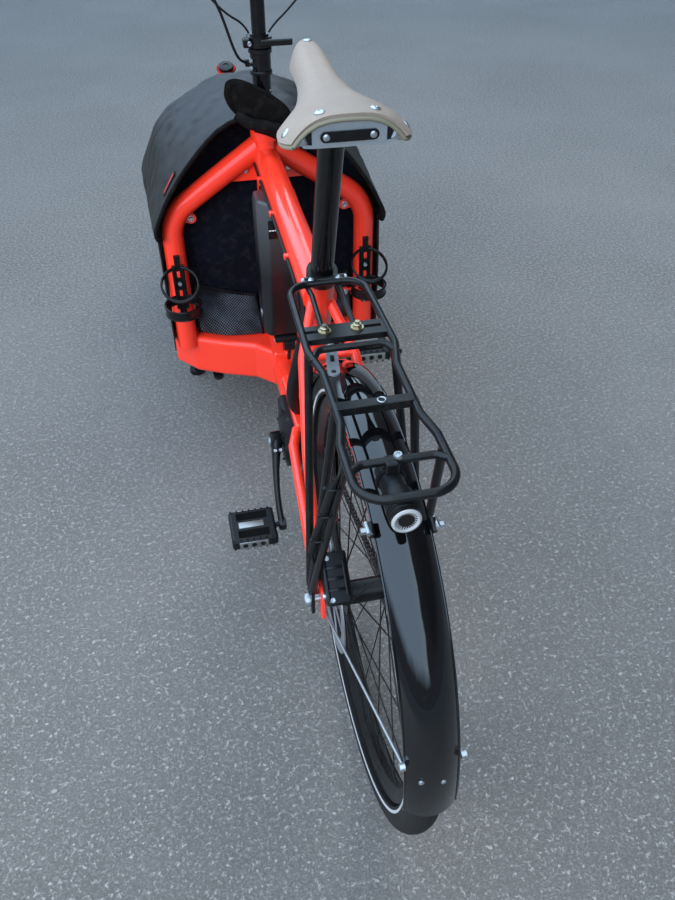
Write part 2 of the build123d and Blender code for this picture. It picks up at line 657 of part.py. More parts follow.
# Canopy sections: share of the way from the hoop to the head tube, height of the ridge,
# (x, z) of three corners down each side, height of the eave
CANOPY = (
    (0.0, 797, (100, 768), (191, 672), (252, 575), 545),
    (0.38, 783, (114, 746), (207, 675), (262, 540), 440),
    (0.735, 684, (107, 657), (192, 603), (262, 500), 430),
    (0.925, 652, (58, 641), (112, 595), (168, 520), 440),
    (1.0, 632, (28, 626), (58, 586), (76, 558), 548),
)
# The cloth flap round the mast: (x, z)
FLAP = ((-73, 834), (-50, 866), (-16, 848), (28, 794), (38, 768), (6, 748), (-42, 770))


def canopy_block(inset):
    """Solid under the canopy's cloth, or under its inner side when inset is the cloth's thickness."""
    start = HOOP_Y - 44
    reach = head_tube_ends()[0].Y - 32 - start
    sections = []
    for share, ridge, upper, middle, lower, eave in CANOPY:
        y = start + share * reach
        if inset:
            y += -5 if share == 0 else (-8 if share == 1 else 0)
        side = [(x - inset, z - inset) for x, z in (upper, middle, lower)]
        side.append((lower[0] - inset, eave - (10 if inset else 0)))
        around = [(-x, z) for x, z in reversed(side)] + [(0, ridge - inset)] + side
        sections.append(make_face(Polyline(*[Vector(x, y, z) for x, z in around], close=True)))
    return loft(sections, ruled=True)


def canopy(roof):
    shell = roof - canopy_block(CLOTH_T)
    shell += plate(FLAP, HOOP_Y - 56, 14)
    shell -= column_rod(640, 940, 34) & block((0, COLUMN_Y + 20, 760), (80, 60, 200))
    shell -= column_rod(640, 940, MAST_R + 6)
    shell -= block((-4, HOOP_Y - 20, 720), (72, 90, 60))
    shell -= frame_cache["front_frame"]
    shell -= frame_cache["main_tube"]
    for side in frame_cache["hoop"]:
        shell -= side
    write("canopy", largest(shell))


def fender_face(half, outer):
    """Section of a fender: a bent sheet between two arcs, in x and radius."""
    low = outer - FENDER_SAG
    inside = half - FENDER_T
    over = ThreePointArc((-half, 0, low), (0, 0, outer), (half, 0, low))
    under = ThreePointArc((inside, 0, low), (0, 0, outer - FENDER_T), (-inside, 0, low))
    ends = [Line((half, 0, low), (inside, 0, low)), Line((-inside, 0, low), (-half, 0, low))]
    return make_face([over, ends[0], under, ends[1]])


def rear_fender():
    return turned(fender_face(FENDER_HALF_W, FENDER_R + FENDER_T), AXLE, 191, -12)


def front_fender():
    """Front fender: as the rear one, wider for the fatter tyre."""
    return turned(fender_face(FENDER_HALF_W + 4, FRONT_FENDER_R + FENDER_T), FRONT_AXLE, 150, 35)


def fenders():
    rear = rear_fender()
    up = atan2(BRIDGE_Z - REAR_R, BRIDGE_Y)
    reach = hypot(BRIDGE_Z - REAR_R, BRIDGE_Y)
    ends = [(0, r * cos(up), REAR_R + r * sin(up)) for r in (FENDER_R, reach)]
    rear += rod(ends[0], ends[1], 5)
    write("rear_fender", rear - frame_cache["seatstays"])
    write("front_fender", front_fender())
    stays = []
    for side in (-1, 1):
        end = radians(164)
        r = FENDER_R - FENDER_SAG + 6
        tip = (side * (FENDER_HALF_W + STAY_WIRE_R), r * cos(end), REAR_R + r * sin(end))
        stay = rod((side * 66, -18, REAR_R - 14), tip, STAY_WIRE_R) - frame_cache["seatstays"]
        stays.append(largest(stay - rear))
    write("fender_stays", *stays)


# Left half of the rack's top rail, from its back round to its front: x, y, bend
RACK_RAIL = ((0, -190, 0), (-58, -190, 34), (-58, -96, 40), (-49, -54, 40), (-49, 50, 40), (-60, 100, 60),
             (-57, 279, 32), (0, 280, 0))
# Cross bars: place along the bike, half length, how far their ends bend back, radius
RACK_BARS = ((-130, 57, 9, 5.0), (104, 59, 28, 5.0))
# Stays to the seat clamp: where each starts there, and its bolt's place across the plate
RACK_STAYS = ((-28, -29), (21, 17))
# Legs on each side: top x, top y, foot y
RACK_LEGS = ((59, 102, 8), (50, -27, 0), (57, -120, -8))


def rack_leg(side, x, y, foot_y, radius):
    return rod((side * x, y, RACK_Z), (side * RACK_FOOT_X, foot_y, REAR_R + 26), radius)


def rack():
    pts = [Vector(x, y, RACK_Z) for x, y, _ in RACK_RAIL]
    line = FilletPolyline(*pts, radius=[b for _, _, b in RACK_RAIL[1:-1]])
    start = Plane(origin=line @ 0, z_dir=line % 0)
    half = sweep(start * Circle(RACK_R), path=line).solid()
    body = half + mirrored(half)
    for y, w, back, r in RACK_BARS:
        bar = [(-w, y - back, RACK_Z), (-w + 13, y, RACK_Z), (w - 13, y, RACK_Z), (w, y - back, RACK_Z)]
        body += pipe(bar, r, 12)
    body += block((0, -27, RACK_Z), (99, 15, 12), 1)
    body += block((0, RACK_PLATE_Y, RACK_Z + 1), (115, 34, 5))
    body += block((0, RACK_PLATE_Y - 15, RACK_Z - 2), (115, 4, 7))
    for x in (-44, 38):
        body -= block((x, RACK_PLATE_Y + 2, RACK_Z), (26, 7, 12))
    for side in (-1, 1):
        for x, y, foot_y in RACK_LEGS:
            body += rack_leg(side, x, y, foot_y, RACK_LEG_R)
        body += block((side * RACK_FOOT_X, 0, REAR_R + 12), (5.4, 36, 52), 1)
        body -= disc(side * RACK_FOOT_X - 10, side * RACK_FOOT_X + 10, AXLE, REAR_AXLE_R)
    for clamp_x, bolt_x in RACK_STAYS:
        strut = ((clamp_x, 287, RACK_Z - 6), (0.92 * clamp_x, 250, RACK_Z - 4), (bolt_x, 150, RACK_Z - 4))
        body += pipe(strut, 4, 30)
    body -= rod(seat_axis(600), seat_axis(800), SEAT_TUBE_R + 6)
    write("rack", body - frame_cache["seatstays"] - seat_collar())
    lamp = rod((LAMP_X, -116, LAMP_Z), (LAMP_X, -164, LAMP_Z), 15)
    lamp += rod((LAMP_X, -160, LAMP_Z), (LAMP_X, -200, LAMP_Z), 18)
    lamp += block((LAMP_X, -132, LAMP_Z + 18), (16, 18, 24), 3)
    write("rear_lamp", lamp - body)


def seat_collar():
    """Clamp round the seat post, with the barrel of its bolt behind."""
    low = seat_axis(CLAMP_Z + SEAT_GAP)
    barrel = seat_axis(CLAMP_Z + 9) + Vector(0, -18, 0)
    body = tube(low, seat_axis(CLAMP_Z + 18), SEAT_TUBE_R + 3, POST_R)
    body += rod(barrel - Vector(31, 0, 0), barrel + Vector(31, 0, 0), 7)
    return body - rod(seat_axis(600), seat_axis(900), POST_R)


# Saddle sections: y from its back, half width, top and edge above the saddle's height
SADDLE = ((0, 62, 0, -32), (22, 78, 2, -30), (66, 68, 0, -30), (112, 45, -3, -30), (160, 31, -1, -30),
          (212, 25, 4, -28), (262, 21, 10, -24), (281, 11, 9, -12))


def saddle_block(inset):
    sections = []
    for y, half, top, edge in SADDLE:
        if inset:
            y += inset if y == 0 else (-inset if y == 281 else 0)
        low = (half - inset, SADDLE_BACK_Y + y, SADDLE_Z + edge - (8 if inset else 0))
        crown = (0, SADDLE_BACK_Y + y, SADDLE_Z + top - inset)
        arc = ThreePointArc((-low[0], *low[1:]), crown, low)
        sections.append(make_face([arc, Line(low, (-low[0], *low[1:]))]))
    return loft(sections, ruled=True)


def saddle():
    post_top = seat_axis(990)
    post = rod(seat_axis(CLAMP_Z - 180), post_top, POST_R)
    write("seat_post", post)
    write("seat_collar", seat_collar())
    clamp = rod(post_top + Vector(-26, 0, 6), post_top + Vector(26, 0, 6), 14)
    clamp += block((0, post_top.Y, post_top.Z + 12), (54, 44, 12), 3)
    clamp -= post
    rails = []
    for side in (-1, 1):
        wire = [(34, 12, 1010), (22, 70, 1004), (22, 160, 1004), (7, 256, 1026)]
        rails.append(pipe([(side * x, SADDLE_BACK_Y + y, z) for x, y, z in wire], RAIL_WIRE_R, 20))
    for r in rails:
        clamp -= r
    write("saddle_clamp", clamp)
    shell = largest(saddle_block(0) - saddle_block(SADDLE_SHELL_T))
    cantle = plate(((-58, 1008), (58, 1008), (52, 1026), (-52, 1026)), SADDLE_BACK_Y + 5, 9)
    nose = block((0, SADDLE_BACK_Y + 262, 1031), (22, 16, 18))
    irons = []
    for piece in (cantle, nose):
        for r in rails:
            piece -= r
        irons.append(largest(piece - shell))
    write("saddle_irons", *irons)
    write("saddle_rails", *rails)
    write("saddle_top", largest(shell - clamp))


def brakes():
    turn = Location((-ROTOR_X - 2.0, -32, REAR_R + 80), (40, 0, 0))
    body = Box(38, 78, 40).moved(turn)
    body = fillet(body.edges(), 5)
    body -= disc(-ROTOR_X - 4, -ROTOR_X + 4, AXLE, ROTOR_R + 4)
    body += rod((-62, -20, REAR_R + 70), (-DROPOUT_X, 14, REAR_R + 36), 6)
    for x, y, foot_y in RACK_LEGS:
        body -= rack_leg(-1, x, y, foot_y, RACK_LEG_R + 1.5)
    write("rear_brake", largest(body - frame_cache["seatstays"]))
    front = block((-ROTOR_X + 2, WHEELBASE - 74, FRONT_R + 52), (34, 40, 50), 4)
    front -= disc(-ROTOR_X - 4, -ROTOR_X + 4, FRONT_AXLE, ROTOR_R + 6)
    front += rod((-62, WHEELBASE - 60, FRONT_R + 52), (-62, WHEELBASE - 10, FRONT_R + 60), 6)
    write("front_brake", largest(front - frame_cache["fork"]))


def headlamp():
    base = fork_axis(CROWN_Z)
    high = base.Z + 58
    near = fork_axis(high).Y + 38
    lamp = rod((0, near, high), (0, near + 48, high), 24)
    lamp += rod((0, base.Y + 12, base.Z + 4), (0, near + 12, high), 6)
    write("headlamp", largest(lamp - frame_cache["fork"]))


def bottle_cages():
    """Two bands round a bottle, on a back plate with a hook above and a foot below."""
    cages = []
    slope = radians(28)
    outer = CAGE_R + CAGE_WALL
    for side in (-1, 1):
        x = side * CAGE_X
        lean = Plane(origin=(x, CAGE_Y, 443), z_dir=(0, -sin(slope), cos(slope)))
        cut = Solid.make_cylinder(70, 6, lean)
        loop = tube((x, CAGE_Y, 400), (x, CAGE_Y, 490), outer, CAGE_R + 1.2) & cut
        low = CAGE_BAND_Z - CAGE_BAND_H / 2
        band = tube((x, CAGE_Y, low), (x, CAGE_Y, low + CAGE_BAND_H), outer, CAGE_R)
        back = block((x, CAGE_BACK_Y, 418), (28, CAGE_BACK_T, 112), 1)
        back += block((x, CAGE_BACK_Y, 483), (13, CAGE_BACK_T, 24), 1)
        back += block((x, CAGE_BACK_Y, 346), (14, CAGE_BACK_T, 40), 1)
        floor = block((x, CAGE_Y + 20, low - 5), (16, 42, 4)) + block((x, CAGE_Y + 38, low - 4), (16, 5, 8))
        cage = loop + band + back + floor
        cage -= frame_cache["hoop"][0 if side < 0 else 1]
        cages.append(largest(cage))
    write("bottle_cages", *cages)


def stand():
    legs = rod((-222, STAND_Y, STAND_Z), (222, STAND_Y, STAND_Z), STAND_AXLE_R)
    for side in (-1, 1):
        foot = (side * STAND_FOOT_X, STAND_FOOT_Y, 7)
        legs += rod((side * 190, STAND_Y, STAND_Z), foot, STAND_LEG_R)
        x = side * STAND_FOOT_X
        legs += rod((x, STAND_FOOT_Y, 0), (x, STAND_FOOT_Y, 13), STAND_PAD_R)
    write("centre_stand", legs)


def axles():
    for name, axle, reach, inner, r in (("rear_axle", AXLE, 94, 86.3, REAR_AXLE_R),
                                        ("front_axle", FRONT_AXLE, 84, 76.2, FRONT_AXLE_R)):
        body = disc(-reach, reach, axle, r)
        for side in (-1, 1):
            x = sorted((side * inner, side * (reach - 0.5)))
            body += disc(x[0], x[1], axle, 12)
        write(name, body)


# Cables held along the frame: radius, then the points of each
FRAME_CABLES = (
    (2.6, ((-30.3, 884, 696), (-30.3, 780, 695), (-30.3, 640, 694), (-30.3, 500, 692), (-30.3, 380, 690),
           (-28, 362, 664), (-25, 383, 620), (-19, 400, 573), (-16, 404, 552))),
    (12.0, ((-16, 403, 562), (-26, 410, 510), (-37, 414, 462), (-38, 424, 420), (-30, 438, 387),
            (-20, 450, 366))),
    (2.4, ((-66.8, -116, 716), (-73.6, -88, 640), (-83, -55, 560), (-89, -40, 510), (-84, -34, 480))),
)


def cables():
    runs = [cable(points, r) for r, points in FRAME_CABLES]
    blockers = [frame_cache[n] for n in ("main_tube", "seat_tube", "seatstays", "spine")]
    blockers += frame_cache["hoop"] + frame_cache["chainstays"]
    out = []
    for run in runs:
        for other in blockers + out:
            run -= other
        out.append(largest(run))
    write("frame_cables", *out)


frame_cache = frame_solids()
frame_cache["front_frame"] = front_frame()
frame_cache["fork"] = front_fork()
rear_wheel()
front_wheel()
frame()
linkage()
column_parts()
crank_parts()
drive()
cargo_box()
fenders()
rack()
saddle()
brakes()
headlamp()
bottle_cages()
stand()
axles()
cables()
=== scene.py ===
"""Front-loading cargo bike: finishes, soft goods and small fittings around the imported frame.

Metres, +Y forward, +Z up, +X to the rider's right, ground at Z = 0.
"""
from math import acos, atan2, cos, hypot, pi, radians, sin, tan

import bmesh
import bpy
from mathutils import Matrix, Vector, noise


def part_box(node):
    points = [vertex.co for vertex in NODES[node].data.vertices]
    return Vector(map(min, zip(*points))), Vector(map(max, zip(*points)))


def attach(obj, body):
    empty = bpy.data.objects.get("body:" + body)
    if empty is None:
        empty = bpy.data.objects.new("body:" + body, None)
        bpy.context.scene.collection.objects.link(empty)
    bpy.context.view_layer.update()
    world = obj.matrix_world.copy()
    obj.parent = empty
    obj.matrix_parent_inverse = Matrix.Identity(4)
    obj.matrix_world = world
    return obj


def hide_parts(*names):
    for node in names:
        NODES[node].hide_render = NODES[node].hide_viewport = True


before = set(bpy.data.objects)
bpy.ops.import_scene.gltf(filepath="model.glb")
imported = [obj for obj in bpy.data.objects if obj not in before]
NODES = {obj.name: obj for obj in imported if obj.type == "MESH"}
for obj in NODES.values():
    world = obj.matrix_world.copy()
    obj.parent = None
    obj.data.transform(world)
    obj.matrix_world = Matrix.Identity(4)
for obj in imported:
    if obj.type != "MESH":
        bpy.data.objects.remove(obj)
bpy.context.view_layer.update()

# Driving places that the fittings share with the frame; lengths along the bike run from the rear axle
REAR_AXLE_Y = -0.9195
WHEELBASE = 1.945
BB_Y, BB_Z = 0.463, 0.289
COLUMN = 0.912
SEAT_ANGLE, HEAD_ANGLE = radians(71), radians(70)
REAR_AXLE = Vector((0.0, REAR_AXLE_Y, 0.353))
FRONT_AXLE = Vector((0.0, REAR_AXLE_Y + WHEELBASE, 0.258))
BB = Vector((0.0, REAR_AXLE_Y + BB_Y, BB_Z))
COLUMN_Y = REAR_AXLE_Y + COLUMN


class Wire:
    """A value on its way through a shader; sums and products of wires add Math nodes."""

    def __init__(self, finish, socket):
        self.finish = finish
        self.socket = socket

    def math(self, operation, *others):
        return self.finish.node("Math", {"operation": operation}, (self, *others))

    def __add__(self, other):
        return self.math("ADD", other)

    def __radd__(self, other):
        return self.math("ADD", other)

    def __mul__(self, other):
        return self.math("MULTIPLY", other)

    def __rmul__(self, other):
        return self.math("MULTIPLY", other)

    def __sub__(self, other):
        return self.math("SUBTRACT", other)

    def __rsub__(self, other):
        return self.finish.node("Math", {"operation": "SUBTRACT"}, (other, self))

    def sine(self):
        return self.math("SINE")

    def size(self):
        return self.math("ABSOLUTE")


class Finish:
    """One material: nodes are added by node(), and done() wires them to the surface."""

    def __init__(self, name):
        self.material = bpy.data.materials.new(name)
        self.material.use_nodes = True
        self.tree = self.material.node_tree
        self.surface = self.tree.nodes["Principled BSDF"]
        self.place = Wire(self, self.tree.nodes.new("ShaderNodeTexCoord").outputs["Object"])

    def node(self, kind, settings=None, values=(), output=0):
        made = self.tree.nodes.new("ShaderNode" + kind)
        for key, value in (settings or {}).items():
            if key == "stops":
                ramp = made.color_ramp
                while len(ramp.elements) < len(value):
                    ramp.elements.new(0.5)
                for element, (spot, colour) in zip(ramp.elements, value):
                    element.position = spot
                    element.color = colour if isinstance(colour, tuple) else (colour, colour, colour, 1)
            else:
                setattr(made, key, value)
        pairs = values.items() if isinstance(values, dict) else enumerate(values)
        for key, value in pairs:
            self.join(made.inputs[key], value)
        return Wire(self, made.outputs[output])

    def join(self, socket, value):
        if isinstance(value, Wire):
            self.tree.links.new(value.socket, socket)
        elif isinstance(value, tuple) and len(value) == 3 and socket.type == "RGBA":
            socket.default_value = (*value, 1)
        else:
            socket.default_value = value

    def noise(self, scale, detail=3.0, rough=0.55, place=None):
        return self.node("TexNoise", values={"Vector": place or self.place, "Scale": scale, "Detail": detail,
                                             "Roughness": rough})

    def ramp(self, value, *stops):
        """Smooth steps of a value: (place, level) pairs."""
        return self.node("ValToRGB", {"stops": stops}, (value,))

    def mix(self, share, first, second):
        """Blend of two colours."""
        return self.node("Mix", {"data_type": "RGBA"}, {0: share, 6: first, 7: second}, output=2)

    def stretched(self, scale):
        """Object coordinates drawn out along some axes, so that a pattern runs in stripes."""
        return self.node("Mapping", values={"Vector": self.place, "Scale": scale})

    def axis(self, name, place=None):
        split = {"X": 0, "Y": 1, "Z": 2}[name]
        return self.node("SeparateXYZ", values=(place or self.place,), output=split)

    def done(self, colour, rough, bump=None, depth=0.0005, **sockets):
        self.join(self.surface.inputs["Base Color"], colour)
        self.join(self.surface.inputs["Roughness"], rough)
        for key, value in sockets.items():
            self.join(self.surface.inputs[key.replace("_", " ")], value)
        if bump is not None:
            normal = self.node("Bump", values={"Strength": 1.0, "Distance": depth, "Height": bump})
            self.join(self.surface.inputs["Normal"], normal)
        return self.material


def bright(colour, share):
    """A colour made lighter or darker by a share."""
    return tuple(min(1.0, c * share) for c in colour)


def gloss_paint(name, colour):
    """Wet-looking enamel over primer: faint orange peel, dust where it lies flat."""
    f = Finish(name)
    cloud = f.noise(7.0, 4.0)
    dust = f.ramp(f.noise(60.0, 6.0, 0.7), (0.58, 0.0), (0.82, 1.0))
    up = f.axis("Z", f.node("NewGeometry", output=1))
    lying = f.ramp(up, (0.4, 0.0), (1.0, 1.0))
    base = f.mix(cloud, bright(colour, 0.96), bright(colour, 1.03))
    soiled = f.mix(dust * lying * 0.06, base, (0.45, 0.36, 0.3))
    rough = f.noise(24.0, 3.0) * 0.04 + 0.30 + dust * 0.08
    peel = f.noise(420.0, 2.0)
    return f.done(soiled, rough, peel, 0.00003, Coat_Weight=0.8, Coat_Roughness=0.04, Specular_IOR_Level=0.35)


def satin_coat(name, colour, rough=0.42, grime=0.12, grain=0.00008):
    """Powder coat or anodising: fine grain, brighter rubbed patches and some dust."""
    f = Finish(name)
    patch = f.ramp(f.noise(16.0, 5.0), (0.35, 0.0), (0.75, 1.0))
    dust = f.ramp(f.noise(90.0, 5.0, 0.7), (0.52, 0.0), (0.78, 1.0))
    base = f.mix(patch, colour, bright(colour, 1.4))
    soiled = f.mix(dust * grime, base, (0.36, 0.32, 0.27))
    return f.done(soiled, patch * 0.08 + dust * 0.1 + rough, f.noise(900.0, 2.0), grain,
                  Specular_IOR_Level=0.42)


def moulded(name, colour, rough=0.5, grain=0.00015, scale=650.0):
    """Moulded plastic or rubber with a spark-eroded grain and a greyed bloom."""
    f = Finish(name)
    bloom = f.ramp(f.noise(11.0, 5.0), (0.4, 0.0), (0.8, 1.0))
    base = f.mix(bloom * 0.5, colour, bright(colour, 1.9))
    return f.done(base, bloom * 0.1 + rough, f.noise(scale, 3.0), grain, Specular_IOR_Level=0.35)


def bare_metal(name, colour, rough=0.3, stain=0.15):
    """Plain or plated metal: fine grain, dull spots."""
    f = Finish(name)
    lines = f.noise(220.0, 3.0)
    spots = f.ramp(f.noise(45.0, 6.0, 0.65), (0.5, 0.0), (0.72, 1.0))
    base = f.mix(spots * stain, colour, bright(colour, 0.45))
    return f.done(base, lines * 0.14 + spots * 0.2 + rough, lines, 0.00004, Metallic=1.0)


RED = (0.85, 0.040, 0.018)
BLACK = (0.0035, 0.0036, 0.004)


def cloth(name, colour, rough=0.8, weave=1500.0, tone=1.35, shine=0.3):
    """Woven cloth: crossing threads, faint dust along the folds."""
    f = Finish(name)
    warp = (f.axis("X") * weave).sine()
    fill = (f.axis("Y") * weave + f.axis("Z") * weave).sine()
    patch = f.ramp(f.noise(9.0, 5.0, 0.6), (0.3, 0.0), (0.75, 1.0))
    dust = f.ramp(f.noise(55.0, 6.0, 0.75), (0.5, 0.0), (0.8, 1.0))
    base = f.mix(patch, colour, bright(colour, tone))
    soiled = f.mix(dust * 0.05, base, (0.32, 0.29, 0.25))
    return f.done(soiled, patch * 0.08 + rough, warp * fill * 0.5 + f.noise(300.0, 3.0), 0.00018,
                  Specular_IOR_Level=shine)


def canvas(name, colour):
    """Saddle cloth: fine grain with rubbed, darker patches."""
    f = Finish(name)
    worn = f.ramp(f.noise(14.0, 5.0, 0.6), (0.35, 0.0), (0.7, 1.0))
    specks = f.ramp(f.noise(420.0, 3.0, 0.7), (0.42, 0.0), (0.62, 1.0))
    base = f.mix(worn * 0.6, colour, bright(colour, 0.72))
    speckled = f.mix(specks * 0.25, base, bright(colour, 0.55))
    return f.done(speckled, worn * -0.12 + 0.72, f.noise(800.0, 3.0), 0.00016)


def net(name, colour, pitch=0.0135):
    """Knitted mesh: slanting rows of holes between pale threads, with a painted highlight that shows the
    threads' pale colour only in random patches, as light caught by the bulging cloth.
    """
    f = Finish(name)
    across = f.axis("X") * (2 * pi / pitch)
    up = f.axis("Z") * (1.5 * pi / pitch) + f.axis("Y") * (1.5 * pi / pitch)
    threads = (across + up).sine() * (across - up).sine()
    lines = f.ramp(threads.size(), (0.10, 1.0), (0.42, 0.0))
    # painted highlight: random patches where the threads are lit, standing in for light on the bulging mesh
    painted_highlight = f.ramp(f.noise(13.0, 2.0, 0.5), (0.38, 0.10), (0.62, 1.0))
    base = f.mix(lines * painted_highlight, (0.0018, 0.0021, 0.0030), colour)
    return f.done(base, 0.7, lines, 0.0006, Specular_IOR_Level=0.2)


def plain(name, colour, rough=0.4, **sockets):
    f = Finish(name)
    return f.done(colour, f.noise(60.0, 3.0) * 0.12 + rough, **sockets)


def make_finishes():
    return {
        "paint": gloss_paint("frame_enamel", RED),
        "coat": satin_coat("black_powder_coat", BLACK, 0.26, 0.03),
        "gloss_black": satin_coat("gloss_black_alloy", (0.0025, 0.0025, 0.003), 0.12, 0.02),
        "mirror_black": fender_lacquer("fender_lacquer", (0.0022, 0.0023, 0.0028)),
        "plastic": moulded("black_moulding", (0.0045, 0.0046, 0.005), 0.40),
        "gloss_plastic": moulded("glossy_moulding", (0.0035, 0.0036, 0.004), 0.2, 0.00005),
        "rubber": moulded("black_rubber", (0.006, 0.006, 0.0065), 0.5, 0.0002),
        "tyre": moulded("tyre_rubber", (0.013, 0.0125, 0.012), 0.72, 0.0003, 500.0),
        "steel": bare_metal("bright_steel", (0.72, 0.73, 0.74), 0.30),
        "alloy": bare_metal("cast_alloy", (0.50, 0.49, 0.47), 0.38),
        "brass": bare_metal("plated_bolt", (0.62, 0.53, 0.36), 0.28),
        "red_alloy": bare_metal("red_washer", (0.34, 0.018, 0.012), 0.28),
        "dark_steel": bare_metal("dark_chain_steel", (0.16, 0.15, 0.14), 0.36, stain=0.5),
        "fabric": cover_fabric("cover_cloth"),
        "binding": cloth("hem_cloth", (0.0040, 0.0038, 0.0036), 0.75, shine=0.14),
        "panel": cloth("panel_cloth", (0.0028, 0.0034, 0.0072), 0.85, 900.0, shine=0.15),
        # pocket mesh: the pale thread colour shows only where the painted highlight lets it
        "mesh": net("pocket_mesh", (0.115, 0.135, 0.170)),
        "canvas": canvas("saddle_cloth", (0.262, 0.222, 0.190)),
        "khaki": plain("saddle_rim", (0.175, 0.168, 0.125), 0.5),
        "cast": bare_metal("cast_grey", (0.66, 0.67, 0.68), 0.50),
        "red_label": plain("label_stripe", (0.42, 0.03, 0.02), 0.6),
        "bowl": plain("lamp_bowl", (0.42, 0.45, 0.47), 0.35),
        "bezel": plain("lamp_bezel", (0.34, 0.36, 0.38), 0.28),
        "battery": battery_finish("battery_shell"),
        "white": plain("white_print", (0.75, 0.76, 0.78), 0.5),
        "reflector": plain("reflective_band", (0.42, 0.44, 0.46), 0.35),
    }


def cover_fabric(name):
    """Waxed cover cloth: near-black, with a painted bluish sky light where it faces up, browner where it
    hangs.
    """
    f = Finish(name)
    up = f.axis("Z", f.node("NewGeometry", output=1))
    lying = f.ramp(up, (0.35, 0.0), (0.9, 1.0))
    patch = f.ramp(f.noise(6.0, 6.0, 0.65), (0.35, 0.0), (0.7, 1.0))
    dust = f.ramp(f.noise(70.0, 6.0, 0.75), (0.52, 0.0), (0.8, 1.0))
    # painted light: faces turned up get a bluish tint standing in for the sky's light; those that hang keep
    # the browner tone
    base = f.mix(lying, (0.0110, 0.0094, 0.0074), (0.0120, 0.0125, 0.0150))
    worn = f.mix(patch * 0.45, base, (0.026, 0.024, 0.023))
    soiled = f.mix(dust * 0.05, worn, (0.30, 0.27, 0.23))
    weave = (f.axis("X") * 1500.0).sine() * (f.axis("Y") * 1500.0 + f.axis("Z") * 1500.0).sine()
    crumple = f.noise(38.0, 5.0, 0.6)
    return f.done(soiled, patch * 0.14 + 0.46, weave * 0.12 + crumple, 0.0011, Specular_IOR_Level=0.42)


def fender_lacquer(name, colour):
    """Deep lacquer that mirrors what stands round it, with a few faint scuffs."""
    f = Finish(name)
    scuffs = f.ramp(f.noise(30.0, 6.0, 0.7, f.stretched((6.0, 1.0, 1.0))), (0.62, 0.0), (0.8, 1.0))
    base = f.mix(scuffs * 0.04, colour, (0.3, 0.28, 0.25))
    return f.done(base, scuffs * 0.10 + 0.035, Coat_Weight=1.0, Coat_Roughness=0.02, Specular_IOR_Level=0.3)


def battery_finish(name):
    """Two-tone case: grey satin shoulders, dark glossy body lower down."""
    f = Finish(name)
    high = f.ramp(f.axis("Z"), (0.50, 0.0), (0.64, 1.0))
    shade = f.noise(5.0, 3.0)
    base = f.mix(high, (0.0045, 0.0040, 0.0046), (0.050, 0.052, 0.056))
    return f.done(base, shade * 0.08 + 0.3, f.noise(900.0, 2.0), 0.00003, Coat_Weight=0.25,
                  Coat_Roughness=0.15)


FINISH = make_finishes()

# Finish of every frame piece, also of those that a detailed piece stands for
DRESSED = {
    "paint": "seat_tube main_tube column_tube lower_beam spine hoop chainstays seatstays front_frame",
    "coat": "rack seat_collar saddle_clamp mast_clamp stem handlebar steering_lever tie_rod fork crankset"
            " rear_hub front_hub rear_brake front_brake centre_stand rear_rim front_rim",
    "gloss_black": "seat_post steering_mast",
    "mirror_black": "rear_fender front_fender",
    "plastic": "motor battery battery_mount rear_lamp headlamp left_pedal right_pedal brake_levers"
               " cargo_floor",
    "gloss_plastic": "bottle_cages",
    "rubber": "grips bar_hoses frame_cables",
    "tyre": "rear_tyre front_tyre",
    "steel": "fender_stays rear_axle front_axle rear_disc front_disc saddle_rails rear_sprocket",
    "cast": "saddle_irons",
    "dark_steel": "chain chainring",
    "fabric": "canopy side_walls front_wall",
    "panel": "rear_panel",
    "canvas": "saddle_top",
}


def dress(node, finish):
    """Give a frame piece one finish."""
    data = NODES[node].data
    data.materials.clear()
    data.materials.append(FINISH[finish])


def dress_frame():
    for finish, names in DRESSED.items():
        for node in names.split():
            dress(node, finish)


# Camera: a place, then turns about the upright, downwards and about the line of sight
CAMERA_PLACE = Vector((-0.2058, -1.6831, 1.3391))
CAMERA_YAW = -0.2119
CAMERA_DOWN = 0.7201
CAMERA_ROLL = 0.0012
CAMERA_LENS = 31.6


def camera():
    """Camera behind and above the left of the rear wheel, looking down and forward."""
    data = bpy.data.cameras.new("camera")
    data.lens = CAMERA_LENS
    data.sensor_width = 36.0
    cam = bpy.data.objects.new("camera", data)
    bpy.context.scene.collection.objects.link(cam)
    turn = Matrix.Rotation(CAMERA_YAW, 4, "Z") @ Matrix.Rotation(pi / 2 - CAMERA_DOWN, 4, "X")
    cam.matrix_world = Matrix.Translation(CAMERA_PLACE) @ turn @ Matrix.Rotation(-CAMERA_ROLL, 4, "Z")
    bpy.context.scene.camera = cam


# Light panels: place, the point they face, width and height, power; the sky does the reflections
PANELS = (("sky_panel", (1.4, 0.6, 3.8), (0, 0, 0.4), (2.2, 2.6), 95),
          ("front_panel", (-2.4, -2.7, 2.1), (0, 0, 0.5), (1.8, 2.0), 130))
PANEL_TONE = (1.0, 0.98, 0.95)


def lamp(name, place, faced, size, power):
    data = bpy.data.lights.new(name, "AREA")
    data.shape = "RECTANGLE"
    data.size, data.size_y = size
    data.energy = power
    data.color = PANEL_TONE
    made = bpy.data.objects.new(name, data)
    bpy.context.scene.collection.objects.link(made)
    made.location = place
    made.rotation_euler = (Vector(faced) - Vector(place)).to_track_quat("-Z", "Y").to_euler()
    made.visible_glossy = False


# The sky's tone from left to right, and how open it is from the horizon up
WALLS = ((0.0, (0.54, 0.75, 1.0)), (0.34, (0.62, 0.82, 1.0)), (0.40, (0.05, 0.055, 0.065)),
         (0.75, (0.02, 0.022, 0.026)))
OPEN_SKY = ((0.24, (0.0, 0.0, 0.0)), (0.42, (1.0, 1.0, 1.0)))
STREET = (0.055, 0.062, 0.075, 1)         # tone under the sky's edge
BANK_SCALE, BANK_SHARE = 3.0, 0.22        # cloud banks that break the edges of both
SKY_STRENGTH = 2.5
FLOOR_SIZE = 12


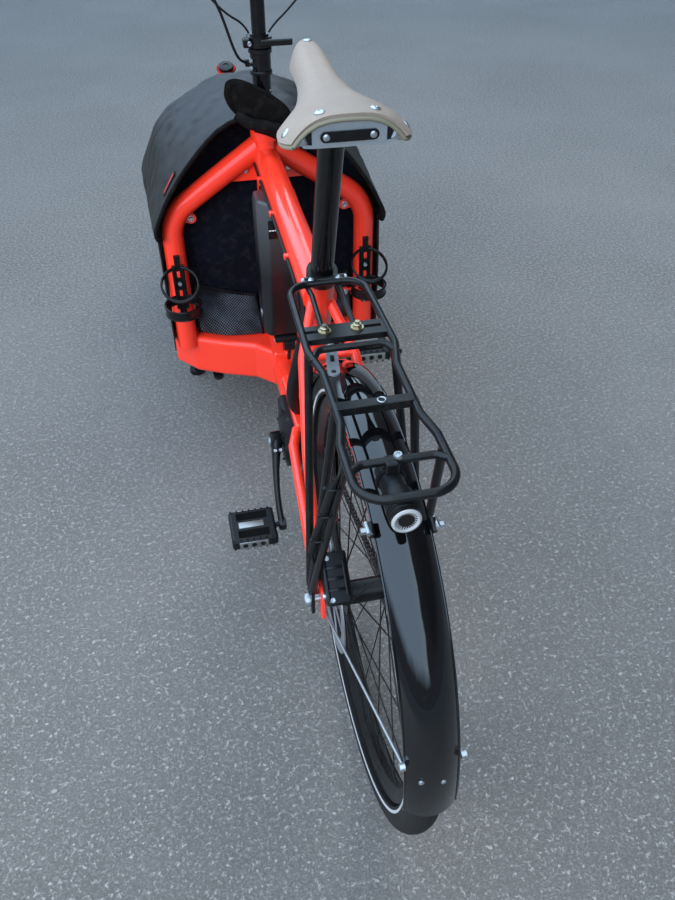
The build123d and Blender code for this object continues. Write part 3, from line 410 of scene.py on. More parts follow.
def sky(world):
    """Open sky behind and to the left, dark walls along the street: what the lacquer and the tubes mirror."""
    world.use_nodes = True
    tree = world.node_tree
    made = {}
    for name, kind in (("coord", "TexCoord"), ("split", "SeparateXYZ"), ("bank", "TexNoise"),
                       ("across", "Math"), ("height", "Math"), ("walls", "ValToRGB"), ("open", "ValToRGB"),
                       ("mixed", "MixRGB")):
        made[name] = tree.nodes.new("ShaderNode" + kind)
    made["bank"].inputs["Scale"].default_value = BANK_SCALE
    for name in ("across", "height"):
        made[name].operation = "MULTIPLY_ADD"
        made[name].inputs[1].default_value = BANK_SHARE
    for name, stops in (("walls", WALLS), ("open", OPEN_SKY)):
        ramp = made[name].color_ramp
        while len(ramp.elements) < len(stops):
            ramp.elements.new(0.5)
        for element, (spot, colour) in zip(ramp.elements, stops):
            element.position = spot
            element.color = (*colour, 1)
    made["mixed"].inputs[1].default_value = STREET
    for start, end in ((made["coord"].outputs["Generated"], made["split"].inputs[0]),
                       (made["coord"].outputs["Generated"], made["bank"].inputs["Vector"]),
                       (made["bank"].outputs[0], made["across"].inputs[0]),
                       (made["split"].outputs["X"], made["across"].inputs[2]),
                       (made["bank"].outputs[0], made["height"].inputs[0]),
                       (made["split"].outputs["Z"], made["height"].inputs[2]),
                       (made["across"].outputs[0], made["walls"].inputs[0]),
                       (made["height"].outputs[0], made["open"].inputs[0]),
                       (made["open"].outputs[0], made["mixed"].inputs[0]),
                       (made["walls"].outputs[0], made["mixed"].inputs[2]),
                       (made["mixed"].outputs[0], tree.nodes["Background"].inputs[0])):
        tree.links.new(start, end)
    tree.nodes["Background"].inputs[1].default_value = SKY_STRENGTH


def studio():
    """Sky, two light panels and the speckled floor."""
    scene = bpy.context.scene
    scene.view_settings.view_transform = "Standard"
    scene.world = bpy.data.worlds.new("studio")
    sky(scene.world)
    for panel in PANELS:
        lamp(*panel)
    bm = bmesh.new()
    bmesh.ops.create_grid(bm, x_segments=1, y_segments=1, size=FLOOR_SIZE)
    mesh = bpy.data.meshes.new("floor")
    bm.to_mesh(mesh)
    bm.free()
    floor = bpy.data.objects.new("floor", mesh)
    scene.collection.objects.link(floor)
    f = Finish("floor_paint")
    grit = f.ramp(f.noise(110.0, 6.0, 0.8), (0.45, 0.0), (0.58, 1.0))
    chips = f.ramp(f.noise(150.0, 3.0, 0.7), (0.60, 0.0), (0.68, 1.0))
    cloud = f.ramp(f.noise(1.4, 5.0, 0.6), (0.3, 0.0), (0.75, 1.0))
    stone = f.mix(grit, (0.125, 0.122, 0.118), (0.275, 0.270, 0.262))
    flecked = f.mix(chips * 0.45, stone, (0.55, 0.55, 0.55))
    ground = f.mix(cloud * 0.35, flecked, (0.285, 0.280, 0.272))
    floor.data.materials.append(f.done(ground, 0.85, grit, 0.0016, Specular_IOR_Level=0.2))


def at(x, y, z):
    """Place given with y from the rear axle."""
    return Vector((x, y + REAR_AXLE_Y, z))


def aim(direction):
    """Turn that takes +Z to a direction."""
    return Vector(direction).to_track_quat("Z", "Y").to_matrix().to_4x4()


def smooth_line(points, steps, closed=False):
    """Smooth line through points, with so many steps from one to the next."""
    pts = [Vector(p) for p in points]
    n = len(pts)
    out = []
    for i in range(n if closed else n - 1):
        if closed:
            a, b, c, d = (pts[(i + k) % n] for k in (-1, 0, 1, 2))
        else:
            a, b, c, d = (pts[min(max(i + k, 0), n - 1)] for k in (-1, 0, 1, 2))
        for s in range(steps):
            t = s / steps
            out.append(0.5 * ((2 * b) + (c - a) * t + (2 * a - 5 * b + 4 * c - d) * t * t
                              + (3 * b - a - 3 * c + d) * t ** 3))
    return out if closed else out + [pts[-1]]


class Piece:
    """A mesh put together from simple forms; done() gives it a finish and hangs it on a body."""

    def __init__(self, name):
        self.name = name
        self.bm = bmesh.new()

    def skin(self, rows, around=False, caps=False):
        """Quads over rows of points; around closes each row, caps the first and last."""
        made = [[self.bm.verts.new(p) for p in row] for row in rows]
        n = len(made[0])
        for low, high in zip(made, made[1:]):
            for j in range(n if around else n - 1):
                k = (j + 1) % n
                self.bm.faces.new((low[j], low[k], high[k], high[j]))
        if caps:
            self.bm.faces.new(list(reversed(made[0])))
            self.bm.faces.new(made[-1])
        return made

    def box(self, centre, size, turn=None, bevel=0.0):
        matrix = Matrix.Translation(centre) @ (turn or Matrix()) @ Matrix.Diagonal((*size, 1.0))
        made = bmesh.ops.create_cube(self.bm, size=1.0, matrix=matrix)["verts"]
        if bevel:
            edges = {e for v in made for e in v.link_edges}
            bmesh.ops.bevel(self.bm, geom=list(edges), offset=bevel, segments=2, affect="EDGES", profile=0.5,
                            material=-1)

    def rod(self, start, end, radius, tip=None, sides=20):
        start, end = Vector(start), Vector(end)
        along = end - start
        matrix = Matrix.Translation((start + end) / 2) @ aim(along)
        bmesh.ops.create_cone(self.bm, cap_ends=True, segments=sides, radius1=radius,
                              radius2=radius if tip is None else tip, depth=along.length, matrix=matrix)

    def lathe(self, profile, place, direction, sides=32):
        """Turned form: (radius, height) pairs spun about a direction."""
        there = set(self.bm.verts)
        line = [self.bm.verts.new((radius, 0, height)) for radius, height in profile]
        edges = [self.bm.edges.new(pair) for pair in zip(line, line[1:])]
        bmesh.ops.spin(self.bm, geom=line + edges, cent=(0, 0, 0), axis=(0, 0, 1), angle=2 * pi, steps=sides,
                       use_merge=True)
        made = [v for v in self.bm.verts if v not in there]
        bmesh.ops.remove_doubles(self.bm, verts=made, dist=1e-6)
        made = [v for v in self.bm.verts if v not in there]
        bmesh.ops.transform(self.bm, matrix=Matrix.Translation(place) @ aim(direction), verts=made)

    def ring(self, place, direction, big, small, sides=48, section=10):
        profile = [(big + small * cos(2 * pi * k / section), small * sin(2 * pi * k / section))
                   for k in range(section + 1)]
        self.lathe(profile, place, direction, sides)

    def prism(self, outline, depth):
        """Flat outline of places, given a thickness by a vector."""
        face = self.bm.faces.new([self.bm.verts.new(p) for p in outline])
        made = bmesh.ops.extrude_face_region(self.bm, geom=[face])["geom"]
        bmesh.ops.translate(self.bm, vec=depth, verts=[v for v in made if isinstance(v, bmesh.types.BMVert)])

    def bolt(self, place, direction, radius, sides=20):
        """Round-headed bolt with a socket, standing on a surface."""
        h = radius * 0.8
        profile = ((radius, 0), (radius, h * 0.6), (radius * 0.8, h), (radius * 0.5, h),
                   (radius * 0.45, h * 0.35), (0, h * 0.3))
        self.lathe(profile, place, direction, sides)

    def hexagon(self, place, direction, radius, height):
        """Hexagon head with a rounded crown on a washer."""
        up = Vector(direction).normalized() * height
        washer, crown = place + up * 0.25, place + up * 0.85
        self.rod(place, washer, radius * 1.35, sides=28)
        self.rod(washer, crown, radius, sides=6)
        self.rod(crown, place + up, radius * 0.86, radius * 0.7, 20)

    def pillow(self, outline, normal, crown, rim=0.003, rings=6):
        """Padded form over a closed outline: crowned on both sides, with a soft rim."""
        reach, full, edge = 0.96, 1.6, 0.3    # how near the middle, how soon full, thinness of the seam
        normal = Vector(normal).normalized()
        middle = sum(outline, Vector()) / len(outline)
        rows = []
        for side in (-1, 1):
            shares = [k / rings for k in range(rings + 1)]
            for s in (reversed(shares) if side > 0 else shares):
                lift = rim + (crown - rim) * (1 - (1 - min(s * full, 1.0)) ** 2) if s else rim * edge
                rows.append([p.lerp(middle, s * reach) - normal * side * lift for p in outline])
        made = self.skin(rows[:rings + 1], around=True)
        self.bm.faces.new(made[-1])
        made = self.skin(rows[rings + 1:], around=True)
        self.bm.faces.new(list(reversed(made[0])))
        bmesh.ops.bridge_loops(self.bm, edges=[e for e in self.bm.edges if e.is_boundary])

    def done(self, finish, body="frame", crease=38.0, out=True, slot=None):
        """Shade the mesh smooth up to a crease in degrees, give it its finish and hang it on its body."""
        if out:
            bmesh.ops.recalc_face_normals(self.bm, faces=self.bm.faces)
        limit = radians(crease)
        for face in self.bm.faces:
            face.smooth = True
        for edge in self.bm.edges:
            edge.smooth = not (len(edge.link_faces) == 2 and edge.calc_face_angle(0.0) > limit)
        mesh = bpy.data.meshes.new(self.name)
        self.bm.to_mesh(mesh)
        self.bm.free()
        made = bpy.data.objects.new(self.name, mesh)
        bpy.context.scene.collection.objects.link(made)
        mesh.materials.append(FINISH[finish])
        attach(made, body)
        slot or finish in SLOTS
        return made


# Slot that each finish belongs to
SLOTS = {"paint": "frame_paint", "coat": "black_coat", "gloss_black": "black_coat",
         "plastic": "black_plastic", "rubber": "grip_rubber", "tyre": "tyre", "steel": "steel",
         "alloy": "steel", "brass": "steel", "dark_steel": "steel", "fabric": "cover_fabric",
         "panel": "cover_fabric", "mesh": "cover_fabric", "binding": "cover_fabric",
         "canvas": "saddle_canvas", "khaki": "saddle_canvas"}


def outward(rows, i, j):
    """Direction out of a grid of points at one of them."""
    a = rows[min(i + 1, len(rows) - 1)][j] - rows[max(i - 1, 0)][j]
    b = rows[i][min(j + 1, len(rows[i]) - 1)] - rows[i][max(j - 1, 0)]
    return a.cross(b).normalized()


def thick_sheet(piece, rows, thickness):
    """Give a grid of points a thickness on its inner side and close its rims."""
    width = len(rows[0])
    around = []
    for i, row in enumerate(rows):
        inner = [p - outward(rows, i, j) * thickness for j, p in enumerate(row)]
        around.append(list(row) + inner[::-1])
    made = piece.skin(around, around=True)
    for line in (made[0], made[-1]):
        for j in range(width - 1):
            piece.bm.faces.new((line[j], line[j + 1], line[-2 - j], line[-1 - j]))


def cable_curve(name, points, radius, finish, body="frame"):
    """Round cable: a smooth NURBS line with the points as its control points."""
    data = bpy.data.curves.new(name, "CURVE")
    data.dimensions = "3D"
    data.bevel_depth = radius
    data.bevel_resolution = 3
    data.resolution_u = 8
    data.use_fill_caps = True
    spline = data.splines.new("NURBS")
    spline.points.add(len(points) - 1)
    for point, place in zip(spline.points, points):
        point.co = (*place, 1)
    spline.order_u = 3
    spline.use_endpoint_u = True
    made = bpy.data.objects.new(name, data)
    bpy.context.scene.collection.objects.link(made)
    data.materials.append(FINISH[finish])
    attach(made, body)
    return made


SIDES = (-1, 1)

# Cover sections: y from the rear axle, height of the ridge, (x, z) of three corners down each side, eave
COVER = (
    (0.880, 0.797, (0.100, 0.768), (0.191, 0.672), (0.250, 0.575), 0.545),
    (1.200, 0.783, (0.114, 0.746), (0.207, 0.675), (0.260, 0.540), 0.442),
    (1.4985, 0.684, (0.107, 0.657), (0.192, 0.603), (0.260, 0.500), 0.432),
    (1.6600, 0.652, (0.058, 0.641), (0.112, 0.595), (0.167, 0.520), 0.442),
    (1.7230, 0.632, (0.028, 0.626), (0.058, 0.586), (0.075, 0.558), 0.550),
)
COVER_ROWS = 22           # rows of cloth between two sections
COVER_COLUMNS = 12        # columns between two corners of a section
CLOTH_T = 0.003
EAVE_KICK = 0.001         # how far the eave stands outside the lowest corner
MOUTH_RADIUS = 0.036      # hole for the mast, cut in the cloth that is higher than MOUTH_FOOT
MOUTH_FOOT = 0.7

# Creases of the cover: radians a metre along it and towards its sides, waver, sharpness, height
LONG_CREASE = (46, 13, 2.4, 2.2, 0.0135)
FINE_CREASE = (30, 22, 3.0, 3, 0.0085)
CREASE_START = 0.5
SWELL, CRUMPLE, DENTS = 0.008, 0.0030, 0.0009    # heights of the broad, small and smallest waves
CREASE_REST = 0.006       # how far the cloth lies under its drawn sections between the creases


def cover_section(station):
    y, ridge, *corners, eave = station
    side = [*corners, (corners[-1][0] + EAVE_KICK, eave)]
    return [at(-x, y, z) for x, z in reversed(side)] + [at(0, y, ridge)] + [at(x, y, z) for x, z in side]


def cover_rows():
    lines = [smooth_line(cover_section(s), COVER_COLUMNS) for s in COVER]
    columns = [smooth_line(column, COVER_ROWS) for column in zip(*lines)]
    return [list(row) for row in zip(*columns)]


def held(value):
    """A share kept between 0 and 1."""
    return max(0.0, min(1.0, value))


def wrinkle(p, x, y, z, shift=0.0, rise=0.0):
    """Uneven height over the cloth, finer along an axis the larger its number."""
    return noise.noise(Vector((p.x * x + shift, p.y * y, p.z * z + rise)))


def fold(p, along, across):
    """Height of the creases that the cloth pulls between its corners: long, slanting and uneven."""
    wave = wrinkle(p, 5, 2.2, 5, rise=3.1)
    side = wrinkle(p, 3.1, 2.0, 3.1, shift=7)
    rate, slant, waver, sharp, height = LONG_CREASE
    slanting = (p.y + CREASE_START) * rate - abs(p.x) * slant + wave * waver
    crest = (1 - abs(sin(slanting))) ** sharp * height
    rate, slant, waver, sharp, height = FINE_CREASE
    crossing = (p.y + CREASE_START) * rate + abs(p.x) * slant + side * waver
    fine = (1 - abs(sin(crossing))) ** sharp * height
    pull = 0.35 + 0.65 * held(0.5 + side * 1.6)
    calm = held(along * 9) * held((1 - along) * 5) * held(across * 9) * held((1 - across) * 9)
    rough = wave * SWELL + wrinkle(p, 24, 14, 24) * CRUMPLE + wrinkle(p, 60, 30, 60, shift=2) * DENTS
    return (crest * pull + fine * max(0.0, 0.5 - side) + rough - CREASE_REST) * (0.25 + 0.75 * calm)


def cover():
    """Creased cover cloth with its hem and tag, open round the mast, and a dark sheet of painted shade under
    its back edge.
    """
    rows = cover_rows()
    bent = [[p + outward(rows, i, j) * fold(p, i / len(rows), j / len(row)) for j, p in enumerate(row)]
            for i, row in enumerate(rows)]
    for line in bent:
        for j, p in enumerate(line):
            away = Vector((p.x, p.y - COLUMN_Y, 0))
            if away.length < MOUTH_RADIUS and p.z > MOUTH_FOOT:
                line[j] = Vector((0, COLUMN_Y, p.z)) + away.normalized() * MOUTH_RADIUS
    piece = Piece("cover")
    thick_sheet(piece, bent, CLOTH_T)
    made = piece.done("fabric", crease=70)
    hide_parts("canopy")
    band = cover_band(bent)
    mast_flap()
    tag = cover_tag(bent)
    shade_sheet()


# Hem of the cover: how far each of its rows stands off the cloth, radii of its beads, rows of stitching
HEM_LIFT = (0.0016, 0.0019, 0.0018, -0.0004)
HEM_BEAD = 0.0046
EAVE_BEAD = 0.0035
STITCH_ROWS = (0.45, 2.2)
STITCH_LIFT = 0.0021
THREAD = 0.0006


def cover_band(rows):
    """Wide hem on the cover's back edge, with a rolled rim and two stitched rows; beads along the eaves."""
    piece = Piece("cover_hem")
    piece.skin([[p + outward(rows, i, j) * lift for j, p in enumerate(rows[i])]
                for i, lift in enumerate(HEM_LIFT)])
    tube_along(piece, rows[0][::3] + rows[0][-1:], HEM_BEAD, 8)
    for share in STITCH_ROWS:
        i = int(share)
        seam = [rows[i][j].lerp(rows[i + 1][j], share - i) + outward(rows, i, j) * STITCH_LIFT
                for j in range(0, len(rows[0]), 2)]
        tube_along(piece, seam, THREAD, 5)
    for side in (0, -1):
        tube_along(piece, [row[side] for row in rows[::3]] + [rows[-1][side]], EAVE_BEAD, 8)
    return piece.done("binding", out=False, crease=60)


# Half of the dark sheet between the hoop's panel and the cover's back edge, painted shade in the gap under
# the cover: (x, z) of its upper edge
SHADE_SHEET = ((0.0, 0.784), (0.060, 0.772), (0.104, 0.755), (0.150, 0.712), (0.190, 0.664), (0.222, 0.610),
          (0.243, 0.560))
SHADE_SHEET_Y = 0.9555
SHADE_SHEET_FOOT, SHADE_SHEET_PEAK = 0.545, 0.690    # height of its lower edge at the sides and in the middle
SHADE_SHEET_SPREAD = 0.235                      # half width at which the lower edge is down at its foot
SHADE_SHEET_SAG = SHADE_SHEET_LEAN = 0.004
SHADE_SHEET_ROWS = 8
SHADE_SHEET_T = 0.0015


def shade_sheet():
    """Dark cloth sheet under the cover's back end, over the rear panel: painted shade for the shadowed gap
    there.
    """
    edge = [(-x, z) for x, z in reversed(SHADE_SHEET[1:])] + list(SHADE_SHEET)
    rows = []
    for i in range(SHADE_SHEET_ROWS + 1):
        share = i / SHADE_SHEET_ROWS
        line = []
        for x, z in edge:
            low = min(z, SHADE_SHEET_FOOT + (SHADE_SHEET_PEAK - SHADE_SHEET_FOOT) * max(0.0, 1 - abs(x) / SHADE_SHEET_SPREAD))
            sag = noise.noise(Vector((x * 9, z * 6 + share * 3, 5.0))) * SHADE_SHEET_SAG * sin(pi * share)
            line.append(at(x, SHADE_SHEET_Y - SHADE_SHEET_LEAN * share + sag, low + (z - low) * share))
        rows.append(smooth_line(line, 3))
    # painted shade: a dark sheet where the gap under the cover's back edge lies in shadow
    piece = Piece("cover_shade_sheet")
    thick_sheet(piece, rows, SHADE_SHEET_T)
    made = piece.done("panel", crease=60)


def tube_along(piece, points, radius, sides=8):
    """Round bead along a line of points."""
    rows = []
    turns = [2 * pi * k / sides for k in range(sides)]
    up = Vector((0.3, 0.2, 0.93))
    for i, p in enumerate(points):
        t = (points[min(i + 1, len(points) - 1)] - points[max(i - 1, 0)]).normalized()
        a = t.cross(up).normalized()
        b = t.cross(a)
        up = -b if b.dot(up) < 0 else b
        rows.append([p + (a * cos(turn) + up * sin(turn)) * radius for turn in turns])
    piece.skin(rows, around=True, caps=True)


# Woven tag: the cover's row that it lies on, its span in x and lowest place there, then its size and how far
# it stands out, and the same of its stripe
TAG_ROW = 3
TAG_SPAN = (-0.224, -0.184)
TAG_LOWEST = 0.6
TAG_SIZE, TAG_LIFT = (0.056, 0.018, 0.0016), 0.0062
STRIPE_SIZE, STRIPE_LIFT = (0.046, 0.009, 0.0006), 0.0011


def cover_tag(rows):
    """Small woven tag with a plain stripe, sewn on the cover's rear left corner."""
    line = [p for p in rows[TAG_ROW] if TAG_SPAN[0] < p.x < TAG_SPAN[1] and p.z > TAG_LOWEST]
    across = (line[-1] - line[0]).normalized()
    along = Vector((0, 1, 0))
    up = across.cross(along)
    turn = Matrix((across, along, up)).transposed().to_4x4()
    out = up.normalized() if up.x < 0 else -up.normalized()
    middle = (line[0] + line[-1]) / 2 + out * TAG_LIFT
    piece = Piece("cover_tag")
    piece.box(middle, TAG_SIZE, turn, 0.0006)
    stripe = Piece("cover_tag_stripe")
    stripe.box(middle + out * STRIPE_LIFT, STRIPE_SIZE, turn, 0.0002)
    return piece.done("rubber", slot="cover_fabric"), stripe.done("red_label", slot="cover_fabric")


# Padded cloth flap behind the mast: (x, z) round its edge
FLAP = ((-0.080, 0.850), (-0.074, 0.866), (-0.056, 0.870), (-0.032, 0.862), (-0.004, 0.847), (0.022, 0.829),
        (0.043, 0.810), (0.053, 0.790), (0.050, 0.771), (0.032, 0.760), (0.006, 0.762), (-0.022, 0.773),
        (-0.050, 0.790), (-0.070, 0.811), (-0.080, 0.833))
FLAP_Y, FLAP_TOP = 0.870, 0.866
FLAP_LEAN = 0.12
FLAP_CROWN, FLAP_RIM = 0.0078, 0.003
FLAP_SEAMS = ((0.10, 0.0072), (0.14, 0.0084))     # share of the way in from the edge, how far it stands out
# Soft roll at the flap's foot and the fringe under it, (x, y, z), then their radii
FLAP_ROLL = ((-0.060, 0.872, 0.802), (-0.034, 0.861, 0.786), (-0.008, 0.860, 0.780), (0.018, 0.861, 0.772),
             (0.040, 0.866, 0.760), (0.058, 0.878, 0.742))
FLAP_FRINGE = ((-0.024, 0.874, 0.772), (0.002, 0.870, 0.764), (0.028, 0.872, 0.750), (0.050, 0.882, 0.733))
ROLL_RADIUS, FRINGE_RADIUS = 0.0115, 0.0080


def mast_flap():
    """Leaf of padded cloth with a sewn edge, and the soft roll at its foot that goes round the mast."""
    outline = smooth_line([at(x, FLAP_Y + FLAP_LEAN * (FLAP_TOP - z), z) for x, z in FLAP], 4, closed=True)
    piece = Piece("mast_flap")
    piece.pillow(outline, (0.1, -1, 0.12), FLAP_CROWN, FLAP_RIM)
    middle = sum(outline, Vector()) / len(outline)
    for share, lift in FLAP_SEAMS:
        seam = [p.lerp(middle, share) + Vector((0, -lift, 0)) for p in outline]
        tube_along(piece, seam + seam[:1], THREAD, 6)
    tube_along(piece, smooth_line([at(*p) for p in FLAP_ROLL], 6), ROLL_RADIUS, 14)
    tube_along(piece, smooth_line([at(*p) for p in FLAP_FRINGE], 6), FRINGE_RADIUS, 12)
    made = piece.done("binding", crease=50)


def read_off(pairs, place):
    """Value at a place, straight between (place, value) pairs and level past their ends."""
    for (start, low), (end, high) in zip(pairs, pairs[1:]):
        if place <= end:
            return low + (high - low) * max(0.0, place - start) / (end - start)
    return pairs[-1][1]


# Rear panel, half: (height, half width) up its edge
PANEL = ((0.272, 0.244), (0.545, 0.244), (0.606, 0.200), (0.650, 0.130), (0.694, 0.060))
PANEL_Y = 0.9504
PANEL_T = 0.002
PANEL_SWELL = 0.0035
PANEL_ROWS, PANEL_COLUMNS = 40, 60


def rear_panel():
    """Stiff cloth back of the box, slightly hollow between its lugs."""
    foot, top = PANEL[0][0], PANEL[-1][0]
    rows = []
    for i in range(PANEL_ROWS + 1):
        z = foot + (top - foot) * i / PANEL_ROWS
        half = read_off(PANEL, z)
        line = []
        for j in range(PANEL_COLUMNS + 1):
            x = half * (2 * j / PANEL_COLUMNS - 1)
            line.append(at(x, PANEL_Y + noise.noise(Vector((x * 7, z * 7, 1.3))) * PANEL_SWELL, z))
        rows.append(line)
    piece = Piece("back_panel")
    thick_sheet(piece, rows, -PANEL_T)
    made = piece.done("panel", crease=60)
    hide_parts("rear_panel")
    pockets()


# Mesh pocket's top edge and floor behind the panel, from the hoop's upright to the battery: (x, y, z)
POCKET_TOP = ((-0.188, 0.946, 0.392), (-0.140, 0.941, 0.380), (-0.096, 0.939, 0.366), (-0.044, 0.942, 0.352))
POCKET_LOW = ((-0.188, 0.932, 0.272), (-0.140, 0.908, 0.271), (-0.096, 0.897, 0.271), (-0.036, 0.893, 0.271))
POCKET_ROWS = 16
POCKET_BELLY, POCKET_SAG = 0.016, 0.012
POCKET_HEM, POCKET_BINDING = 0.0042, 0.0025


def pockets():
    """Mesh pockets at the foot of the panel, sagging back over the beam."""
    for side, name in ((1, "left_pocket"), (-1, "right_pocket")):
        top = smooth_line([at(x * side, y, z) for x, y, z in POCKET_TOP], 10)
        low = smooth_line([at(x * side, y, z) for x, y, z in POCKET_LOW], 10)
        rows = []
        for i in range(POCKET_ROWS + 1):
            s = i / POCKET_ROWS
            belly = sin(pi * s ** 1.6) * POCKET_BELLY
            line = []
            for a, b in zip(top, low):
                p = a.lerp(b, s)
                sag = noise.noise(Vector((p.x * 18, p.z * 22, 4.0))) * POCKET_SAG * sin(pi * s)
                line.append(p + Vector((0, -belly + sag, 0)))
            rows.append(line)
        piece = Piece(name)
        piece.skin(rows)
        cloth = piece.done("mesh", out=False, crease=80)
        hem = Piece(name + "_hem")
        tube_along(hem, rows[0], POCKET_HEM, 8)
        for end in (0, -1):
            tube_along(hem, [row[end] for row in rows], POCKET_BINDING, 8)
        edge = hem.done("binding", crease=60)


# Cloth sides: ends along the bike, foot, distance from the middle, and (y, height) of their upper edge
WALL_BACK, WALL_FRONT = 0.908, 1.529
WALL_FOOT = 0.240
WALL_X = 0.2515
WALL_TOP = ((0.908, 0.543), (1.198, 0.440), (1.200, 0.440), (1.500, 0.430))
WALL_ROWS, WALL_COLUMNS = 24, 60


def side_walls():
    """Cloth sides of the box, hanging from the cover's eaves to the rails."""
    for side, name in ((-1, "left_wall"), (1, "right_wall")):
        rows = []
        for i in range(WALL_ROWS + 1):
            line = []
            for j in range(WALL_COLUMNS + 1):
                y = WALL_BACK + (WALL_FRONT - WALL_BACK) * j / WALL_COLUMNS
                z = WALL_FOOT + (read_off(WALL_TOP, y) - WALL_FOOT) * i / WALL_ROWS
                wave = noise.noise(Vector((side * 2.0, y * 6, z * 5)))
                line.append(at(side * (WALL_X + wave * 0.003), y, z))
            rows.append(line)
        piece = Piece(name)
        thick_sheet(piece, rows, side * CLOTH_T)
        made = piece.done("fabric", crease=60)
    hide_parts("side_walls")


# Saddle sections: y from its back, half width, top, how far the skirt hangs below it, how late it falls away
SADDLE_BACK_Y = 0.123
SADDLE_Z = 1.036
SADDLE = (
    (0.000, 0.0655, 0.0005, 0.027, 3.3), (0.008, 0.0718, 0.0015, 0.030, 3.3),
    (0.022, 0.0765, 0.002, 0.032, 3.2), (0.046, 0.0735, 0.001, 0.030, 3.0),
    (0.076, 0.0580, -0.001, 0.025, 2.9), (0.110, 0.0410, -0.003, 0.021, 3.0),
    (0.148, 0.0305, -0.002, 0.019, 3.2), (0.188, 0.0255, 0.002, 0.021, 3.5),
    (0.228, 0.0240, 0.007, 0.025, 3.7), (0.256, 0.0225, 0.010, 0.027, 3.5),
    (0.270, 0.0184, 0.0105, 0.026, 3.1), (0.278, 0.0110, 0.009, 0.020, 2.6),
)
SADDLE_STEPS = 26
SLING_T = 0.0042
SLING_EDGE, EDGE_DROP = 0.0029, 0.0022
# Crown under the rivets: half width, rise, drop at the side and how late it falls; then (x, y from the back)
CROWN_HALF, CROWN_RISE, CROWN_DROP, CROWN_LATE = 0.0755, 0.0018, 0.032, 3.2
RIVETS = ((-0.0685, 0.019), (-0.0315, 0.012), (0.0315, 0.012), (0.0685, 0.019))
NOSE_RIVET = (0.001, 0.266, 0.0104)
RIVET_LIFT = 0.0044
RIVET_HEAD = ((0.0063, -0.0016), (0.0063, 0.0004), (0.0046, 0.0014), (0.0018, 0.0018), (0.0014, 0.0008),
              (0, 0.0007))
# Cast plate at the saddle's back: (x, z) round it, the corners of one window, and the inlay's size
CANTLE = ((-0.0615, 1.0135), (-0.056, 1.0075), (-0.043, 1.0035), (0.043, 1.0035), (0.056, 1.0075),
          (0.0615, 1.0135), (0.054, 1.0255), (0.036, 1.0320), (0, 1.0345), (-0.036, 1.0320), (-0.054, 1.0255))
CANTLE_Y, CANTLE_T = SADDLE_BACK_Y + 0.0015, 0.005
HORN_START, HORN_END = (0.050, 0.002, 1.0145), (0.0645, 0.014, 1.0085)    # (x, y from the back, height)
WINDOW = ((0.0440, 1.0075), (0.0545, 1.0090), (0.0590, 1.0135), (0.0545, 1.0205), (0.0440, 1.0235))
INLAY_HALF, INLAY_LOW, INLAY_HIGH, INLAY_ROUND = 0.0345, 1.0095, 1.0218, 0.006
INLAY_Y = SADDLE_BACK_Y - 0.0006
STUD_X, STUD_Z = 0.0275, 1.0155
STUD = ((0.0040, 0), (0.0040, 0.0008), (0.0030, 0.0016), (0, 0.0019))


def saddle_ring(station):
    """Crown of the saddle across one section, from its left edge over the top to its right edge."""
    y, half, top, drop, late = station
    out = []
    for k in range(SADDLE_STEPS + 1):
        t = -cos(pi * k / SADDLE_STEPS)
        out.append(at(half * t, SADDLE_BACK_Y + y, SADDLE_Z + top - drop * abs(t) ** late))
    return out


def saddle():
    """Cloth saddle: slung top, bound edge, rivets and the cast plate at its back."""
    columns = [smooth_line(c, 5) for c in zip(*[saddle_ring(s) for s in SADDLE])]
    rows = [list(r) for r in zip(*columns)]
    piece = Piece("saddle_sling")
    thick_sheet(piece, rows, SLING_T)
    made = piece.done("canvas", crease=60)
    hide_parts("saddle_top")
    edge = Piece("saddle_edge")
    rim = [row[0] for row in rows] + rows[-1][1:-1] + [row[-1] for row in reversed(rows)] + rows[0][-2:0:-1]
    under = [p - Vector((0, 0, EDGE_DROP)) for p in rim]
    tube_along(edge, under[::2] + under[:1], SLING_EDGE, 8)
    edge.done("khaki", crease=70)
    saddle_rivets()
    saddle_cantle()
    saddle_inlay()


def saddle_rivets():
    """Domed rivets along the saddle's back and one at its nose."""
    rivets = Piece("saddle_rivets")
    for x, y in RIVETS:
        t = abs(x) / CROWN_HALF
        slope = CROWN_DROP * CROWN_LATE * t ** (CROWN_LATE - 1) / CROWN_HALF
        lean = Vector((slope if x > 0 else -slope, 0, 1)).normalized()
        spot = at(x, SADDLE_BACK_Y + y, SADDLE_Z + CROWN_RISE - CROWN_DROP * t ** CROWN_LATE)
        rivets.lathe(RIVET_HEAD, spot + lean * RIVET_LIFT, lean, 24)
    x, y, z = NOSE_RIVET
    rivets.lathe(RIVET_HEAD, at(x, SADDLE_BACK_Y + y, SADDLE_Z + z + RIVET_LIFT), (0, 0.1, 1), 24)
    rivets.done("steel")


def saddle_cantle():
    """Cast plate with a horn and a dark window at each side."""
    cantle = Piece("saddle_cantle")
    outline = smooth_line([at(x, CANTLE_Y, z) for x, z in CANTLE], 4, closed=True)
    cantle.prism(outline, (0, CANTLE_T, 0))
    for side in SIDES:
        start, end = (at(side * x, SADDLE_BACK_Y + y, z) for x, y, z in (HORN_START, HORN_END))
        cantle.rod(start, end, 0.0055, 0.0075, 20)
    cantle.done("cast")
    windows = Piece("saddle_windows")
    for side in SIDES:
        windows.prism([at(side * x, SADDLE_BACK_Y + 0.0011, z) for x, z in WINDOW], (0, 0.002, 0))
    windows.done("plastic", slot="steel")


